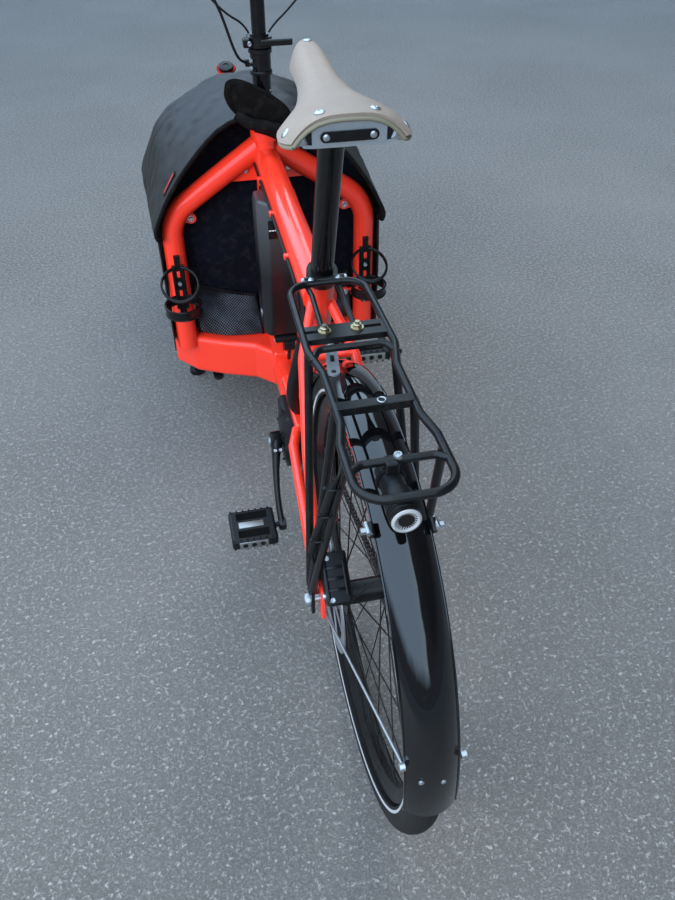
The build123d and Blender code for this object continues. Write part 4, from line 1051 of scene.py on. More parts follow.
def saddle_inlay():
    """Bare dark plate with round ends and a stud at each."""
    inlay = Piece("saddle_plate")
    middle, half_height = (INLAY_LOW + INLAY_HIGH) / 2, (INLAY_HIGH - INLAY_LOW) / 2
    around = []
    for sign in (1, -1):
        for k in range(9):
            a = -pi / 2 + pi * k / 8
            x = INLAY_HALF - INLAY_ROUND + INLAY_ROUND * cos(a)
            around.append(at(sign * x, INLAY_Y, middle + sign * sin(a) * half_height))
    inlay.prism(around, (0, 0.0024, 0))
    inlay.done("gloss_black", slot="steel")
    studs = Piece("saddle_studs")
    for side in SIDES:
        studs.lathe(STUD, at(side * STUD_X, INLAY_Y, STUD_Z), (0, -1, 0), 24)
    studs.done("steel")


def axis_down(angle):
    """Direction in the bike's mid plane, degrees up from forward."""
    return Vector((0, cos(radians(angle)), sin(radians(angle))))


# Tyres: node, its piece, body, axle, outside and bead radii, width
TYRES = (("rear_tyre", "rear_tyre_tread", "rear_wheel", REAR_AXLE, 0.353, 0.311, 0.047),
         ("front_tyre", "front_tyre_tread", "front_wheel", FRONT_AXLE, 0.258, 0.203, 0.054))
TYRE_ARC, TYRE_STEPS = 118, 48           # degrees of the section each side of its crown, and its steps
TYRE_RISE = 0.002                        # widest place above the middle of the section
SIDEWALL = 1.9                           # how much longer than round the section is below that
BEAD_T = 0.006
GROOVES = (-0.5, -0.17, 0.17, 0.5)       # places across the tread, as shares of the half width
GROOVE_DEPTH, GROOVE_SPREAD = 0.0011, 0.07
BAND_PLACE, BAND_OUT = 0.2, 0.93         # reflective band: shares of the section's height and half width
BAND = ((-0.002, -0.0012), (-0.002, 0.0002), (0.002, 0.0010), (0.002, -0.0006), (-0.002, -0.0012))


def tyre_section(outer, bead, width):
    """Outline of a tyre from bead to bead, (radius, place across), with its running grooves."""
    half = width / 2
    middle = (outer + bead) / 2 + TYRE_RISE
    section = []
    for k in range(TYRE_STEPS + 1):
        a = radians(TYRE_ARC * (2 * k / TYRE_STEPS - 1))
        height = outer - middle if abs(a) < pi / 2 else (middle - bead) * SIDEWALL
        depth = sum(max(0.0, 1 - abs(sin(a) - g) / GROOVE_SPREAD) for g in GROOVES) * GROOVE_DEPTH
        section.append((middle + height * cos(a) - depth, half * sin(a)))
    return section + [(bead + BEAD_T, half * 0.55), (bead + BEAD_T, -half * 0.55)]


def tyres():
    """Both tyres with a reflective band each side and a valve."""
    for node, name, body, axle, outer, bead, width in TYRES:
        section = tyre_section(outer, bead, width)
        piece = Piece(name)
        piece.lathe(section + section[:1], axle, (1, 0, 0), 160)
        made = piece.done("tyre", body, crease=80)
        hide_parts(node)
        band = Piece(name + "_band")
        r, x = bead + (outer - bead) * BAND_PLACE, width / 2 * BAND_OUT
        for side in SIDES:
            band.lathe([(r + dr, x + dx) for dr, dx in BAND], axle, (side, 0, 0), 120)
        band.done("reflector", body)
        valve = Piece(name + "_valve")
        foot = axle + Vector((0, 0, bead - 0.018))
        valve.rod(foot, foot - Vector((0, 0, 0.026)), 0.003, sides=12)
        valve.rod(foot - Vector((0, 0, 0.02)), foot - Vector((0, 0, 0.034)), 0.0042, 0.0032, sides=12)
        valve.done("rubber", body)


CHAIN_X = 0.0453
CHAIN_PITCH = 0.0127
RING_RADIUS, COG_RADIUS = 0.076, 0.0366
CHAIN_STEPS = 48                         # steps of the chain's line round each wheel
LINK_HALF, LINK_T = 0.0042, 0.0009
INNER_GAP, OUTER_GAP = 0.0026, 0.0037    # from the chain's middle to its inner and its outer links
PIN = (0.0048, 0.0018, 8)                # half length, radius, sides
ROLLER = (0.0024, 0.0038, 10)


def chain_path():
    """Middle line of the chain round chainring and sprocket."""
    reach = BB - REAR_AXLE
    lean = atan2(reach.z, reach.y)
    turn = acos((RING_RADIUS - COG_RADIUS) / hypot(reach.y, reach.z))
    line = []
    for middle, radius, first, arc in ((BB, RING_RADIUS, lean + turn, 2 * turn),
                                       (REAR_AXLE, COG_RADIUS, lean - turn, 2 * pi - 2 * turn)):
        for k in range(CHAIN_STEPS + 1):
            a = first - arc * k / CHAIN_STEPS
            line.append(middle + Vector((0, cos(a), sin(a))) * radius)
    return line


def along_path(line, count):
    """Evenly spaced places round a closed line."""
    runs = [(b - a).length for a, b in zip(line, line[1:] + line[:1])]
    whole = sum(runs)
    out = []
    i, left = 0, 0.0
    for k in range(count):
        want = whole * k / count
        while left + runs[i] < want:
            left += runs[i]
            i += 1
        a, b = line[i], line[(i + 1) % len(line)]
        out.append(a.lerp(b, (want - left) / runs[i]))
    return out


def chain():
    """Links, pins and rollers along the chain's line."""
    line = chain_path()
    length = sum((b - a).length for a, b in zip(line, line[1:] + line[:1]))
    count = 2 * round(length / CHAIN_PITCH / 2)
    places = along_path(line, count)
    piece = Piece("chain_links")
    for i, p in enumerate(places):
        q = places[(i + 1) % count]
        along = (q - p).normalized()
        up = Vector((1, 0, 0)).cross(along)
        outline = []
        for end, turn in ((p, pi / 2), (q, -pi / 2)):
            for k in range(5):
                a = turn + pi * k / 4
                outline.append(end + (along * cos(a) + up * sin(a)) * LINK_HALF)
        for side in SIDES:
            x = CHAIN_X + side * (INNER_GAP if i % 2 else OUTER_GAP)
            piece.prism([(x, v.y, v.z) for v in outline], (side * LINK_T, 0, 0))
        for half, radius, sides in (PIN, ROLLER):
            piece.rod((CHAIN_X - half, p.y, p.z), (CHAIN_X + half, p.y, p.z), radius, sides=sides)
    made = piece.done("dark_steel")
    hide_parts("chain")


# Battery case, going up: height, half width, y of its back and front, bevel of the back corners
BATTERY = ((0.352, 0.040, 0.752, 0.832, 0.006), (0.357, 0.0455, 0.745, 0.838, 0.012),
           (0.40, 0.046, 0.7425, 0.838, 0.016), (0.61, 0.046, 0.7425, 0.838, 0.021),
           (0.650, 0.0455, 0.7445, 0.837, 0.023), (0.659, 0.043, 0.750, 0.834, 0.020),
           (0.662, 0.038, 0.757, 0.828, 0.016))
BATTERY_BACK = 0.742
BATTERY_CORNER = 0.006
WINDOW_SIZE, WINDOW_Z = (0.044, 0.0016, 0.040), 0.612
CHARGE_LIGHTS, LIGHT_PITCH, LIGHT_FIRST = 5, 0.0062, -0.0225
LIGHT_SIZE, LIGHT_Z = (0.0048, 0.0006, 0.0022), 0.6105
LOCK_Y, LOCK_Z = 0.792, 0.392
# Latch under the battery: (place, size) of its two blocks, then the ends of its lever
LATCH_BLOCKS = ((at(0.0, 0.752, 0.3455), (0.052, 0.030, 0.013)),
                (at(0.006, 0.742, 0.330), (0.026, 0.020, 0.022)))
LATCH_LEVER = (at(0.006, 0.742, 0.322), at(0.006, 0.760, 0.280))


def battery():
    """Battery case: bevelled grey upper part, dark lower part, charge lights and a lock."""
    rings = []
    for z, half, back, front, bevel in BATTERY:
        left = [(-half + BATTERY_CORNER, front), (-half, front - BATTERY_CORNER),
                (-half, back + bevel * 1.25), (-half + bevel, back)]
        ring = left[1:] + [(-x, y) for x, y in reversed(left)] + left[:1]
        rings.append([at(x, y, z) for x, y in ring])
    piece = Piece("battery_case")
    piece.skin(rings, around=True, caps=True)
    edges = [e for e in piece.bm.edges if abs(e.verts[0].co.z - e.verts[1].co.z) > 0.002]
    bmesh.ops.bevel(piece.bm, geom=edges, offset=0.0035, segments=3, affect="EDGES", profile=0.5, material=-1)
    made = piece.done("battery", crease=24)
    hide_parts("battery")
    window = Piece("battery_window")
    window.box(at(-0.004, BATTERY_BACK, WINDOW_Z), WINDOW_SIZE, None, 0.0007)
    window.done("gloss_black", slot="black_plastic")
    marks = Piece("battery_lights")
    for k in range(CHARGE_LIGHTS):
        marks.box(at(LIGHT_FIRST + k * LIGHT_PITCH, BATTERY_BACK - 0.0009, LIGHT_Z), LIGHT_SIZE)
    marks.done("white", slot="black_plastic")
    lock = Piece("battery_lock")
    lock.rod(at(-0.046, LOCK_Y, LOCK_Z), at(-0.0475, LOCK_Y, LOCK_Z), 0.010, sides=28)
    lock.done("steel")
    latch = Piece("battery_latch")
    for place, size in LATCH_BLOCKS:
        latch.box(place, size, None, 0.004)
    latch.rod(*LATCH_LEVER, 0.0045, sides=12)
    latch.done("plastic")


# Bottle cages: their place to each side, the back plate's face, the ring's middle and radius
CAGE_X = 0.219
CAGE_FACE = 0.8945
CAGE_Y = 0.8575
CAGE_RADIUS = 0.0408
CAGE_BOLTS = ((0.428, 0.0052), (0.334, 0.0056))           # height, radius
CAGE_WINDOWS, CAGE_WINDOW = (0.452, 0.404), (0.007, 0.002, 0.015)    # heights, size
CAGE_RINGS, CAGE_WIRE = (0.3965, 0.3762), 0.0022          # heights, radius
# Rails and top lip of a cage's back: (x from its middle, y from its face, height), size, bevel
CAGE_RAILS = (((-0.010, -0.0005, 0.418), (0.004, 0.003, 0.104), 0.0012),
              ((0.010, -0.0005, 0.418), (0.004, 0.003, 0.104), 0.0012),
              ((0.0, 0.002, 0.4955), (0.0135, 0.0085, 0.006), 0.0015))
LOOP_Z, LOOP_SLOPE, LOOP_RADIUS, LOOP_LIFT, LOOP_WIRE = 0.443, radians(28), 0.0410, 0.0058, 0.0026
LOOP_STEPS, LOOP_OPEN, LOOP_START = 72, 3, 20             # steps round, those left open, the first one


def cage_details():
    """Bolts, windows and feet of the two bottle cages, with their slanting loops."""
    bolts, windows, trim = Piece("cage_bolts"), Piece("cage_windows"), Piece("cage_trim")
    lean = Vector((0, -sin(LOOP_SLOPE), cos(LOOP_SLOPE))) * LOOP_LIFT
    for side in SIDES:
        x = CAGE_X * side
        for z, radius in CAGE_BOLTS:
            bolts.bolt(at(x, CAGE_FACE + 0.001, z), (0, -1, 0), radius)
        for z in CAGE_WINDOWS:
            windows.box(at(x, CAGE_FACE + 0.0006, z), CAGE_WINDOW, None, 0.0009)
        for (dx, dy, z), size, bevel in CAGE_RAILS:
            trim.box(at(x + dx, CAGE_FACE + dy, z), size, None, bevel)
        for z in CAGE_RINGS:
            trim.ring(at(x, CAGE_Y, z), (0, 0, 1), CAGE_RADIUS, CAGE_WIRE, 56, 8)
        loop = []
        for k in range(LOOP_STEPS):
            a = 2 * pi * k / LOOP_STEPS
            y = LOOP_RADIUS * sin(a)
            loop.append(at(x + LOOP_RADIUS * cos(a), CAGE_Y + y, LOOP_Z + y * tan(LOOP_SLOPE)) + lean)
        tube_along(trim, loop[LOOP_START:] + loop[:LOOP_START - LOOP_OPEN], LOOP_WIRE)
    bolts.done("steel")
    windows.done("paint", slot="frame_paint")
    trim.done("gloss_plastic", slot="black_plastic")


# Hoop's lug bolts with a washer under each, (x, z); gusset and beam bolts; the rack's bolts and plugged hole
HOOP_LUGS = ((0.175, 0.567), (0.179, 0.339))
HOOP_FACE = 0.9302
WASHER, LUG_BOLT = 0.0072, 0.0054
GUSSET_BOLTS = (at(-0.046, 0.921, 0.668), at(0.046, 0.921, 0.668))
BEAM_BOLT = at(-0.0155, 0.812, 0.300)
RACK_REAR_BOLT = at(0.0, -0.130, 0.748)
RACK_BOLTS_X, RACK_BOLTS_Y, RACK_TOP = (-0.029, 0.017), 0.142, 0.7466
HOLE_X, HOLE_Y = 0.008, -0.027
SEAT_PIVOT = ((0.0062, 0), (0.0062, 0.003), (0.0045, 0.0045), (0.0028, 0.0045), (0.0026, 0.002), (0, 0.002))
SEAT_SCREW = ((0.0050, 0), (0.0050, 0.003), (0.0030, 0.0045), (0, 0.0047))


def frame_fasteners():
    """Bolts of the frame: lugs, gusset and beam tab, then those of the rack."""
    piece = Piece("frame_bolts")
    for side in SIDES:
        for x, z in HOOP_LUGS:
            piece.rod(at(side * x, HOOP_FACE, z), at(side * x, HOOP_FACE - 0.0016, z), WASHER, sides=28)
            piece.bolt(at(side * x, HOOP_FACE - 0.0014, z), (0, -1, 0), LUG_BOLT)
    for place in GUSSET_BOLTS:
        piece.bolt(place, (0, -1, 0), 0.0056)
    piece.bolt(BEAM_BOLT, (0, -1, 0), 0.0062)
    piece.done("steel")
    brass = Piece("rack_bolts")
    for x in RACK_BOLTS_X:
        foot = at(x, RACK_BOLTS_Y, RACK_TOP)
        brass.hexagon(foot, (0, 0, 1), 0.0068, 0.007)
        brass.rod(foot + Vector((0, 0, 0.0064)), foot + Vector((0, 0, 0.0104)), 0.0034, sides=16)
    brass.done("brass")
    rack_fittings()
    fender_bracket()


def rack_fittings():
    """Rear bolt of the rack, the seat clamp's two barrels, and the plugged hole with its ring."""
    fittings = Piece("rack_fittings")
    fittings.bolt(RACK_REAR_BOLT, (0, 0, 1), 0.0056)
    for side in SIDES:
        end = seat_bolt(side)
        fittings.lathe(SEAT_PIVOT, end, (side, 0, 0), 28)
        fittings.lathe(SEAT_SCREW, end + Vector((-side * 0.010, -0.0062, 0.0035)), (0, -0.8, 0.6), 24)
    fittings.ring(at(HOLE_X, HOLE_Y, 0.7497), (0, 0, 1), 0.0050, 0.0011, 32, 8)
    fittings.done("steel")
    for name, low, high, radius, sides, finish in (("rack_sleeve", 0.7485, 0.7496, 0.0072, 6, "coat"),
                                                   ("rack_hole", 0.7494, 0.7500, 0.0038, 24, "plastic")):
        piece = Piece(name)
        piece.rod(at(HOLE_X, HOLE_Y, low), at(HOLE_X, HOLE_Y, high), radius, sides=sides)
        piece.done(finish)


# Fender bracket: ends of its middle line, half width and thickness; slots by share of the length, and long
BRACKET_HEAD, BRACKET_FOOT = at(-0.0172, 0.1570, 0.7075), at(-0.0282, 0.0850, 0.7155)
BRACKET_HALF, BRACKET_T = 0.0085, 0.0022
BRACKET_SLOTS = ((0.52, 0.018), (0.02, 0.007))


def fender_bracket():
    """Round-ended plate that holds the fender's front end, its bolt and its two slots."""
    plate = Piece("fender_bracket")
    head, foot = BRACKET_HEAD, BRACKET_FOOT
    along = (head - foot).normalized()
    across = along.cross(Vector((0, 0, 1))).normalized()
    out = across.cross(along).normalized()
    edge = []
    for sign, spot in ((1, head), (-1, foot)):
        for k in range(11):
            a = -pi / 2 + pi * k / 10
            edge.append(spot + across * BRACKET_HALF * sin(a) * -sign + along * BRACKET_HALF * cos(a) * sign)
    plate.prism(edge, out * BRACKET_T)
    plate.rod(head + out * 0.002, head + out * 0.0045, 0.0055, sides=28)
    plate.bolt(head + out * 0.0045, out, 0.0042)
    plate.done("cast")
    slots = Piece("bracket_slots")
    turn = Matrix((across, along, out)).transposed().to_4x4()
    for share, length in BRACKET_SLOTS:
        slots.box(foot.lerp(head, share) + out * 0.0023, (0.0058, length, 0.0008), turn, 0.0003)
    slots.done("plastic")


# Head of the column, (radius, height) from its foot
SLEEVE_FOOT = 0.738
SLEEVE = ((0.0205, 0.055), (0.0290, 0.055), (0.0312, 0.053), (0.0312, 0.012), (0.0300, 0.0), (0.0205, 0.0))


def mast_sleeve():
    """Painted head of the column, between the hoop and the cover's roll."""
    piece = Piece("mast_sleeve")
    piece.lathe(SLEEVE, at(0, COLUMN, SLEEVE_FOOT), (0, 0, 1), 48)
    piece.done("paint")


# Seat clamp: height, how far behind the seat tube's line its barrel lies, and its half length
CLAMP_Z, CLAMP_BACK, CLAMP_HALF = 0.742, 0.018, 0.031


def seat_bolt(side):
    """End of the seat clamp's barrel."""
    return at(side * CLAMP_HALF, BB_Y - (CLAMP_Z - BB_Z) / tan(SEAT_ANGLE) - CLAMP_BACK, CLAMP_Z)


# Rear fender, in degrees up from forward: (angle, x) of its rivets, (x, angle, size) of the upper stay clips
FENDER_RIVETS = ((167.5, -0.017), (168.5, 0.010))
FENDER_RIVET = ((0.0034, -0.001), (0.0034, 0.0004), (0.002, 0.0014), (0, 0.0016))
FENDER_OUTSIDE = 0.3625
STAY_CLIPS = ((-0.037, 117, 0.011), (0.037, 118, 0.010))
STAY_RADIUS = 0.353
LOW_STAY_ANGLE, LOW_STAY_X = 164, 0.0375
FENDER_EDGE_X, FENDER_EDGE_RADIUS = 0.0336, 0.3495
FENDER_START, FENDER_ARC, FENDER_STEPS = -12, 191, 90


def fender_details():
    """Rivets, stay clips and the rolled edges of the rear fender."""
    steel = Piece("fender_rivets")
    for angle, x in FENDER_RIVETS:
        out = axis_down(angle)
        steel.lathe(FENDER_RIVET, REAR_AXLE + Vector((x, 0, 0)) + out * FENDER_OUTSIDE, out, 14)
    clips = Piece("fender_clips")
    for x, angle, size in STAY_CLIPS:
        out = axis_down(angle)
        side = -1 if x < 0 else 1
        place = REAR_AXLE + Vector((x, 0, 0)) + out * STAY_RADIUS
        clips.box(place, (0.007, size * 1.3, 0.018), Matrix.Rotation(radians(angle), 4, "X"), 0.002)
        steel.rod(place + Vector((side * 0.004, 0, 0)), place + Vector((side * 0.012, 0, 0)), 0.0048, sides=6)
        screw = place + out * 0.004 + Vector((x * 0.1, 0, 0))
        steel.rod(screw + Vector((0, -0.008, 0)), screw + Vector((0, 0.010, 0)), 0.0034, sides=16)
    for side in SIDES:
        place = REAR_AXLE + Vector((side * LOW_STAY_X, 0, 0)) + axis_down(LOW_STAY_ANGLE) * STAY_RADIUS
        steel.rod(place - Vector((side * 0.003, 0, 0)), place + Vector((side * 0.0035, 0, 0)), 0.0050)
    steel.done("steel")
    clips.done("coat")
    edge = Piece("fender_edges")
    for side in SIDES:
        line = [REAR_AXLE + Vector((side * FENDER_EDGE_X, 0, 0))
                + axis_down(FENDER_START + FENDER_ARC * k / FENDER_STEPS) * FENDER_EDGE_RADIUS
                for k in range(FENDER_STEPS + 1)]
        tube_along(edge, line, 0.0017, 6)
    edge.done("mirror_black")


# Rear lamp: middle of its front, and turned profiles of its parts, (radius, depth)
LAMP = at(-0.008, -0.200, 0.717)
LAMP_BEZEL = ((0.0126, -0.002), (0.0126, 0.0014), (0.0146, 0.0024), (0.0170, 0.0014), (0.0180, -0.002))
LAMP_BOWL = ((0.0134, 0.0008), (0.0120, -0.0004), (0.0090, -0.0014), (0.0050, -0.0020), (0.0030, -0.0022))
LAMP_EMITTER = ((0.0031, -0.0026), (0.0031, -0.0012), (0.0022, -0.0006), (0, -0.0004))
LAMP_RIBS = 24
LAMP_RINGS, RING_FIRST, RING_PITCH = 3, 0.006, 0.0045
LAMP_STRAP = 0.068                       # how far behind its front the lamp is strapped to the rack


def lamps():
    """Rear lamp: bright bezel, ribbed reflector bowl with its small emitter, cooling rings and strap."""
    back = Vector((0, -1, 0))
    bezel = Piece("rear_lamp_bezel")
    bezel.lathe(LAMP_BEZEL, LAMP, back, 56)
    bezel.done("bezel", slot="black_plastic")
    bowl = Piece("rear_lamp_bowl")
    bowl.lathe(LAMP_BOWL, LAMP, back, 48)
    for k in range(LAMP_RIBS):
        a = 2 * pi * k / LAMP_RIBS
        side = Vector((cos(a), 0, sin(a)))
        bowl.rod(LAMP + back * -0.0012 + side * 0.0050, LAMP + back * 0.0004 + side * 0.0126, 0.0004, sides=5)
    bowl.done("bowl", slot="black_plastic")
    emitter = Piece("rear_lamp_emitter")
    emitter.lathe(LAMP_EMITTER, LAMP, back, 24)
    emitter.done("brass", slot="black_plastic")
    rings = Piece("rear_lamp_rings")
    for k in range(LAMP_RINGS):
        rings.ring(LAMP + Vector((0, RING_FIRST + k * RING_PITCH, 0)), back, 0.0181, 0.0009, 48, 6)
    strap = LAMP + Vector((0, LAMP_STRAP, 0))
    rings.ring(strap, back, 0.0158, 0.0026, 40, 8)
    rings.box(strap + Vector((0, 0, 0.019)), (0.014, 0.010, 0.012), None, 0.0025)
    rings.rod(strap + Vector((-0.011, 0, 0.021)), strap + Vector((0.011, 0, 0.021)), 0.0032, sides=14)
    rings.done("plastic")


# Pedals: middle of the body from its outer end, the pins' rows and pitch, faces of the end plates
PEDAL_HALF = 0.043
PIN_ROW_Y, PIN_FIRST, PIN_PITCH, PINS = 0.040, -0.038, 0.0127, 7
PIN_LOW, PIN_HIGH = 0.011, 0.0145
PLATE_Y, PLATE_SIZE = 0.0445, (0.058, 0.0016, 0.0175)
HOLE_PITCH, HOLE_RADIUS = 0.0175, 0.0052
SCREW_X, SCREW_UP = 0.0255, 0.0052
TOP_PLATE_Z, TOP_PLATE = 0.0122, (0.050, 0.016, 0.0012)


def pedals():
    """Moulded pedal bodies with pins, over the plain cages."""
    for side, node in ((-1, "left_pedal"), (1, "right_pedal")):
        low, high = (Vector(corner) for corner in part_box(node))
        middle = (low + high) / 2
        cx = (high.x - PEDAL_HALF) if side > 0 else (low.x + PEDAL_HALF)
        pins = Piece(node + "_pins")
        for y in (middle.y - PIN_ROW_Y, middle.y + PIN_ROW_Y):
            for k in range(PINS):
                x = cx + PIN_FIRST + k * PIN_PITCH
                for up in SIDES:
                    low_end, high_end = middle.z + up * PIN_LOW, middle.z + up * PIN_HIGH
                    pins.rod((x, y, low_end), (x, y, high_end), 0.0022, 0.0016, 10)
        pins.done("plastic", node)
        plate, holes = Piece(node + "_plate"), Piece(node + "_holes")
        for face in SIDES:
            y = middle.y + face * PLATE_Y
            plate.box((cx, y, middle.z), PLATE_SIZE, None, 0.0006)
            for k in (-1, 0, 1):
                x = cx + k * HOLE_PITCH
                holes.rod((x, y, middle.z), (x, y + face * 0.0011, middle.z), HOLE_RADIUS, sides=24)
            for k in SIDES:
                place = (cx + k * SCREW_X, y + face * 0.0008, middle.z + SCREW_UP)
                plate.bolt(place, (0, face, 0), 0.0018, 10)
        for up in SIDES:
            plate.box((cx, middle.y, middle.z + up * TOP_PLATE_Z), TOP_PLATE, None, 0.0005)
        plate.done("alloy", node)
        holes.done("plastic", node)


# Mast: bolts of its clamps, (place, direction); height marks; turned rings, height and (radius, height)
MAST_BOLTS = ((at(-0.0195, 0.9, 0.892), (-0.8, -0.6, 0.1)), (at(-0.0195, 0.9, 0.878), (-0.8, -0.6, 0.1)),
              (at(-0.022, 0.889, 0.925), (-0.2, -1, 0)))
MARK_SIZE = (0.0004, 0.006, 0.0011)
MARK_ANGLE, MARK_RADIUS, MARK_FOOT, MARK_PITCH, MARKS = radians(-38), 0.0188, 0.770, 0.013, 6
MAST_RINGS = ((0.868, ((0.0215, -0.004), (0.0222, -0.003), (0.0222, 0.003), (0.0215, 0.004))),
              (0.908, ((0.0206, -0.005), (0.0235, -0.003), (0.0235, 0.004), (0.0206, 0.006))))


def steering_details():
    """Clamp bolts, height marks and rings of the steering mast."""
    bolts = Piece("mast_bolts")
    for place, out in MAST_BOLTS:
        bolts.bolt(place, out, 0.0046)
    bolts.done("steel", "handlebar")
    marks = Piece("mast_marks")
    turn = Matrix.Rotation(MARK_ANGLE, 4, "Z")
    x, y = MARK_RADIUS * cos(MARK_ANGLE), COLUMN + MARK_RADIUS * sin(MARK_ANGLE)
    for k in range(MARKS):
        marks.box(at(x, y, MARK_FOOT + k * MARK_PITCH), MARK_SIZE, turn)
    marks.done("white", "handlebar", slot="black_coat")
    rings = Piece("mast_rings")
    for z, profile in MAST_RINGS:
        rings.lathe(profile, at(0, COLUMN, z), (0, 0, 1), 48)
    rings.done("coat", "handlebar")


# Head tube: height of its top, how far the fork's axle stands ahead of its line, and what sits on it
HEAD_TOP, FORK_OFFSET = 0.644, 0.048
HEAD_RING = ((0.0205, 0.0002), (0.0278, 0.0004), (0.0288, 0.0022), (0.0268, 0.0046), (0.0205, 0.0050))
HEAD_CAP = ((0.0222, 0.0054), (0.0222, 0.0100), (0.0200, 0.0120), (0.0085, 0.0128), (0.0080, 0.0108),
            (0, 0.0106))


def head_cap():
    """Cap and coloured washer on top of the fork's head tube."""
    up = Vector((0, -cos(HEAD_ANGLE), sin(HEAD_ANGLE)))
    top = at(0, WHEELBASE - FORK_OFFSET + (FRONT_AXLE.z - HEAD_TOP) / tan(HEAD_ANGLE), HEAD_TOP)
    ring = Piece("head_ring")
    ring.lathe(HEAD_RING, top, up, 48)
    ring.done("red_alloy", "frame", slot="steel")
    cap = Piece("head_cap")
    cap.lathe(HEAD_CAP, top, up, 48)
    cap.done("gloss_plastic", "fork")


# Motor's side covers: (side, x), their turned profile, and the screws round each
MOTOR_SIDES = ((-1, -0.0542), (1, 0.0382))
MOTOR_COVER = ((0.0, 0.0035), (0.030, 0.0035), (0.050, 0.0025), (0.0575, -0.001), (0.0590, -0.006))
MOTOR_SCREWS, SCREW_CIRCLE, SCREW_START = 6, 0.049, 15


def motor_covers():
    """Round cover with its screws on each side of the motor."""
    covers = Piece("motor_covers")
    for side, x in MOTOR_SIDES:
        place = Vector((x, BB.y + 0.006, BB.z))
        covers.lathe(MOTOR_COVER, place, (side, 0, 0), 56)
        for k in range(MOTOR_SCREWS):
            out = axis_down(360 / MOTOR_SCREWS * k + SCREW_START) * SCREW_CIRCLE
            covers.bolt(place + Vector((side * 0.0024, 0, 0)) + out, (side, 0, 0), 0.0032, 12)
    covers.done("plastic")


# Crank arm sections: share of its length, half width, half thickness, how far it bows outwards
CRANK_ARM = ((0.0, 0.0195, 0.0110, 0.000), (0.09, 0.0190, 0.0105, 0.000), (0.20, 0.0150, 0.0085, 0.0020),
             (0.40, 0.0122, 0.0070, 0.0045), (0.65, 0.0108, 0.0062, 0.0050), (0.86, 0.0112, 0.0062, 0.0030),
             (1.0, 0.0135, 0.0070, 0.0))
CRANK_LENGTH = 0.170
CRANK_DOWN = Vector((0, -0.681, -0.732))         # from the spindle to the left pedal
CRANK_HUB_X, CRANK_TIP_X = 0.071, 0.082
SPINDLE = (0.058, 0.066, 0.0118)                 # ends of the spindle's shown part, and its radius
ARM_STEPS, ARM_ROUND = 24, 0.75                  # points round a section, and how square it is
HUB_BOSS = ((0, 0.0118), (0.0150, 0.0118), (0.0190, 0.0095), (0.0195, -0.008), (0.017, -0.0105),
            (0, -0.0105))
TIP_BOSS = ((0, 0.0078), (0.0105, 0.0078), (0.0132, 0.0055), (0.0135, -0.0055), (0.011, -0.0075),
            (0, -0.0075))
SPINDLE_BOLT = ((0.0100, 0.0), (0.0100, 0.0016), (0.0080, 0.0026), (0.0052, 0.0026), (0.0050, 0.0008),
                (0, 0.0008))
PINCH_DOWN, PINCH_APART, PINCH_RADIUS = 0.0215, 0.0052, 0.0052


def squared(value):
    """A sine or cosine drawn out, so that a round section turns square."""
    return (1 if value > 0 else -1) * abs(value) ** ARM_ROUND


def crank_details():
    """Forged arms with rounded faces, spindle bolts and the two pinch bolts of each arm."""
    arms, bright_bolts = Piece("crank_arms"), Piece("crank_bolts")
    places = smooth_line([(share, half, thick) for share, half, thick, _ in CRANK_ARM], 4)
    bows = smooth_line([(share, bow, 0) for share, _, _, bow in CRANK_ARM], 4)
    for side in SIDES:
        down = CRANK_DOWN * -side
        hub = Vector((side * CRANK_HUB_X, BB.y, BB.z))
        tip = Vector((side * CRANK_TIP_X, BB.y, BB.z)) + down * CRANK_LENGTH
        across = Vector((0, -down.z, down.y))
        rings = []
        for (share, half, thick), (_, bow, _) in zip(places, bows):
            middle = hub.lerp(tip, share) + Vector((side * bow, 0, 0))
            turns = [2 * pi * k / ARM_STEPS for k in range(ARM_STEPS)]
            rings.append([middle + across * half * squared(cos(a)) + Vector((thick * squared(sin(a)), 0, 0))
                          for a in turns])
        arms.skin(rings, around=True, caps=True)
        arms.lathe(HUB_BOSS, hub, (side, 0, 0), 40)
        arms.lathe(TIP_BOSS, tip, (side, 0, 0), 36)
        arms.rod((side * SPINDLE[0], BB.y, BB.z), (side * SPINDLE[1], BB.y, BB.z), SPINDLE[2], sides=32)
        bright_bolts.lathe(SPINDLE_BOLT, hub + Vector((side * 0.0116, 0, 0)), (side, 0, 0), 32)
        back = -across if across.y > 0 else across
        for k in SIDES:
            near = hub + down * PINCH_DOWN + Vector((k * PINCH_APART, 0, 0))
            arms.rod(near, near + back * 0.0185, PINCH_RADIUS, sides=20)
            bright_bolts.bolt(near + back * 0.0183, back, 0.0038, 16)
    made = arms.done("coat", "crank", crease=50)
    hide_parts("crankset")
    bright_bolts.done("steel", "crank")


# Grips: (x, y, z) of the right grip's inner and outer ends; ribs from the outer end
GRIP_START, GRIP_END = (0.2, 0.886, 1.115), (0.32, 0.852, 1.115)
GRIP_RIBS, RIB_FIRST, RIB_PITCH, RIB_RADIUS = 16, 0.012, 0.0064, 0.0170


def grip_ribs():
    """Raised ribs near the outer end of each grip."""
    ribs = Piece("grip_ribs")
    for side in SIDES:
        start, end = (at(side * x, y, z) for x, y, z in (GRIP_START, GRIP_END))
        along = (end - start).normalized()
        for k in range(GRIP_RIBS):
            ribs.ring(end - along * (RIB_FIRST + k * RIB_PITCH), along, RIB_RADIUS, 0.0009, 32, 6)
    ribs.done("rubber", "handlebar")


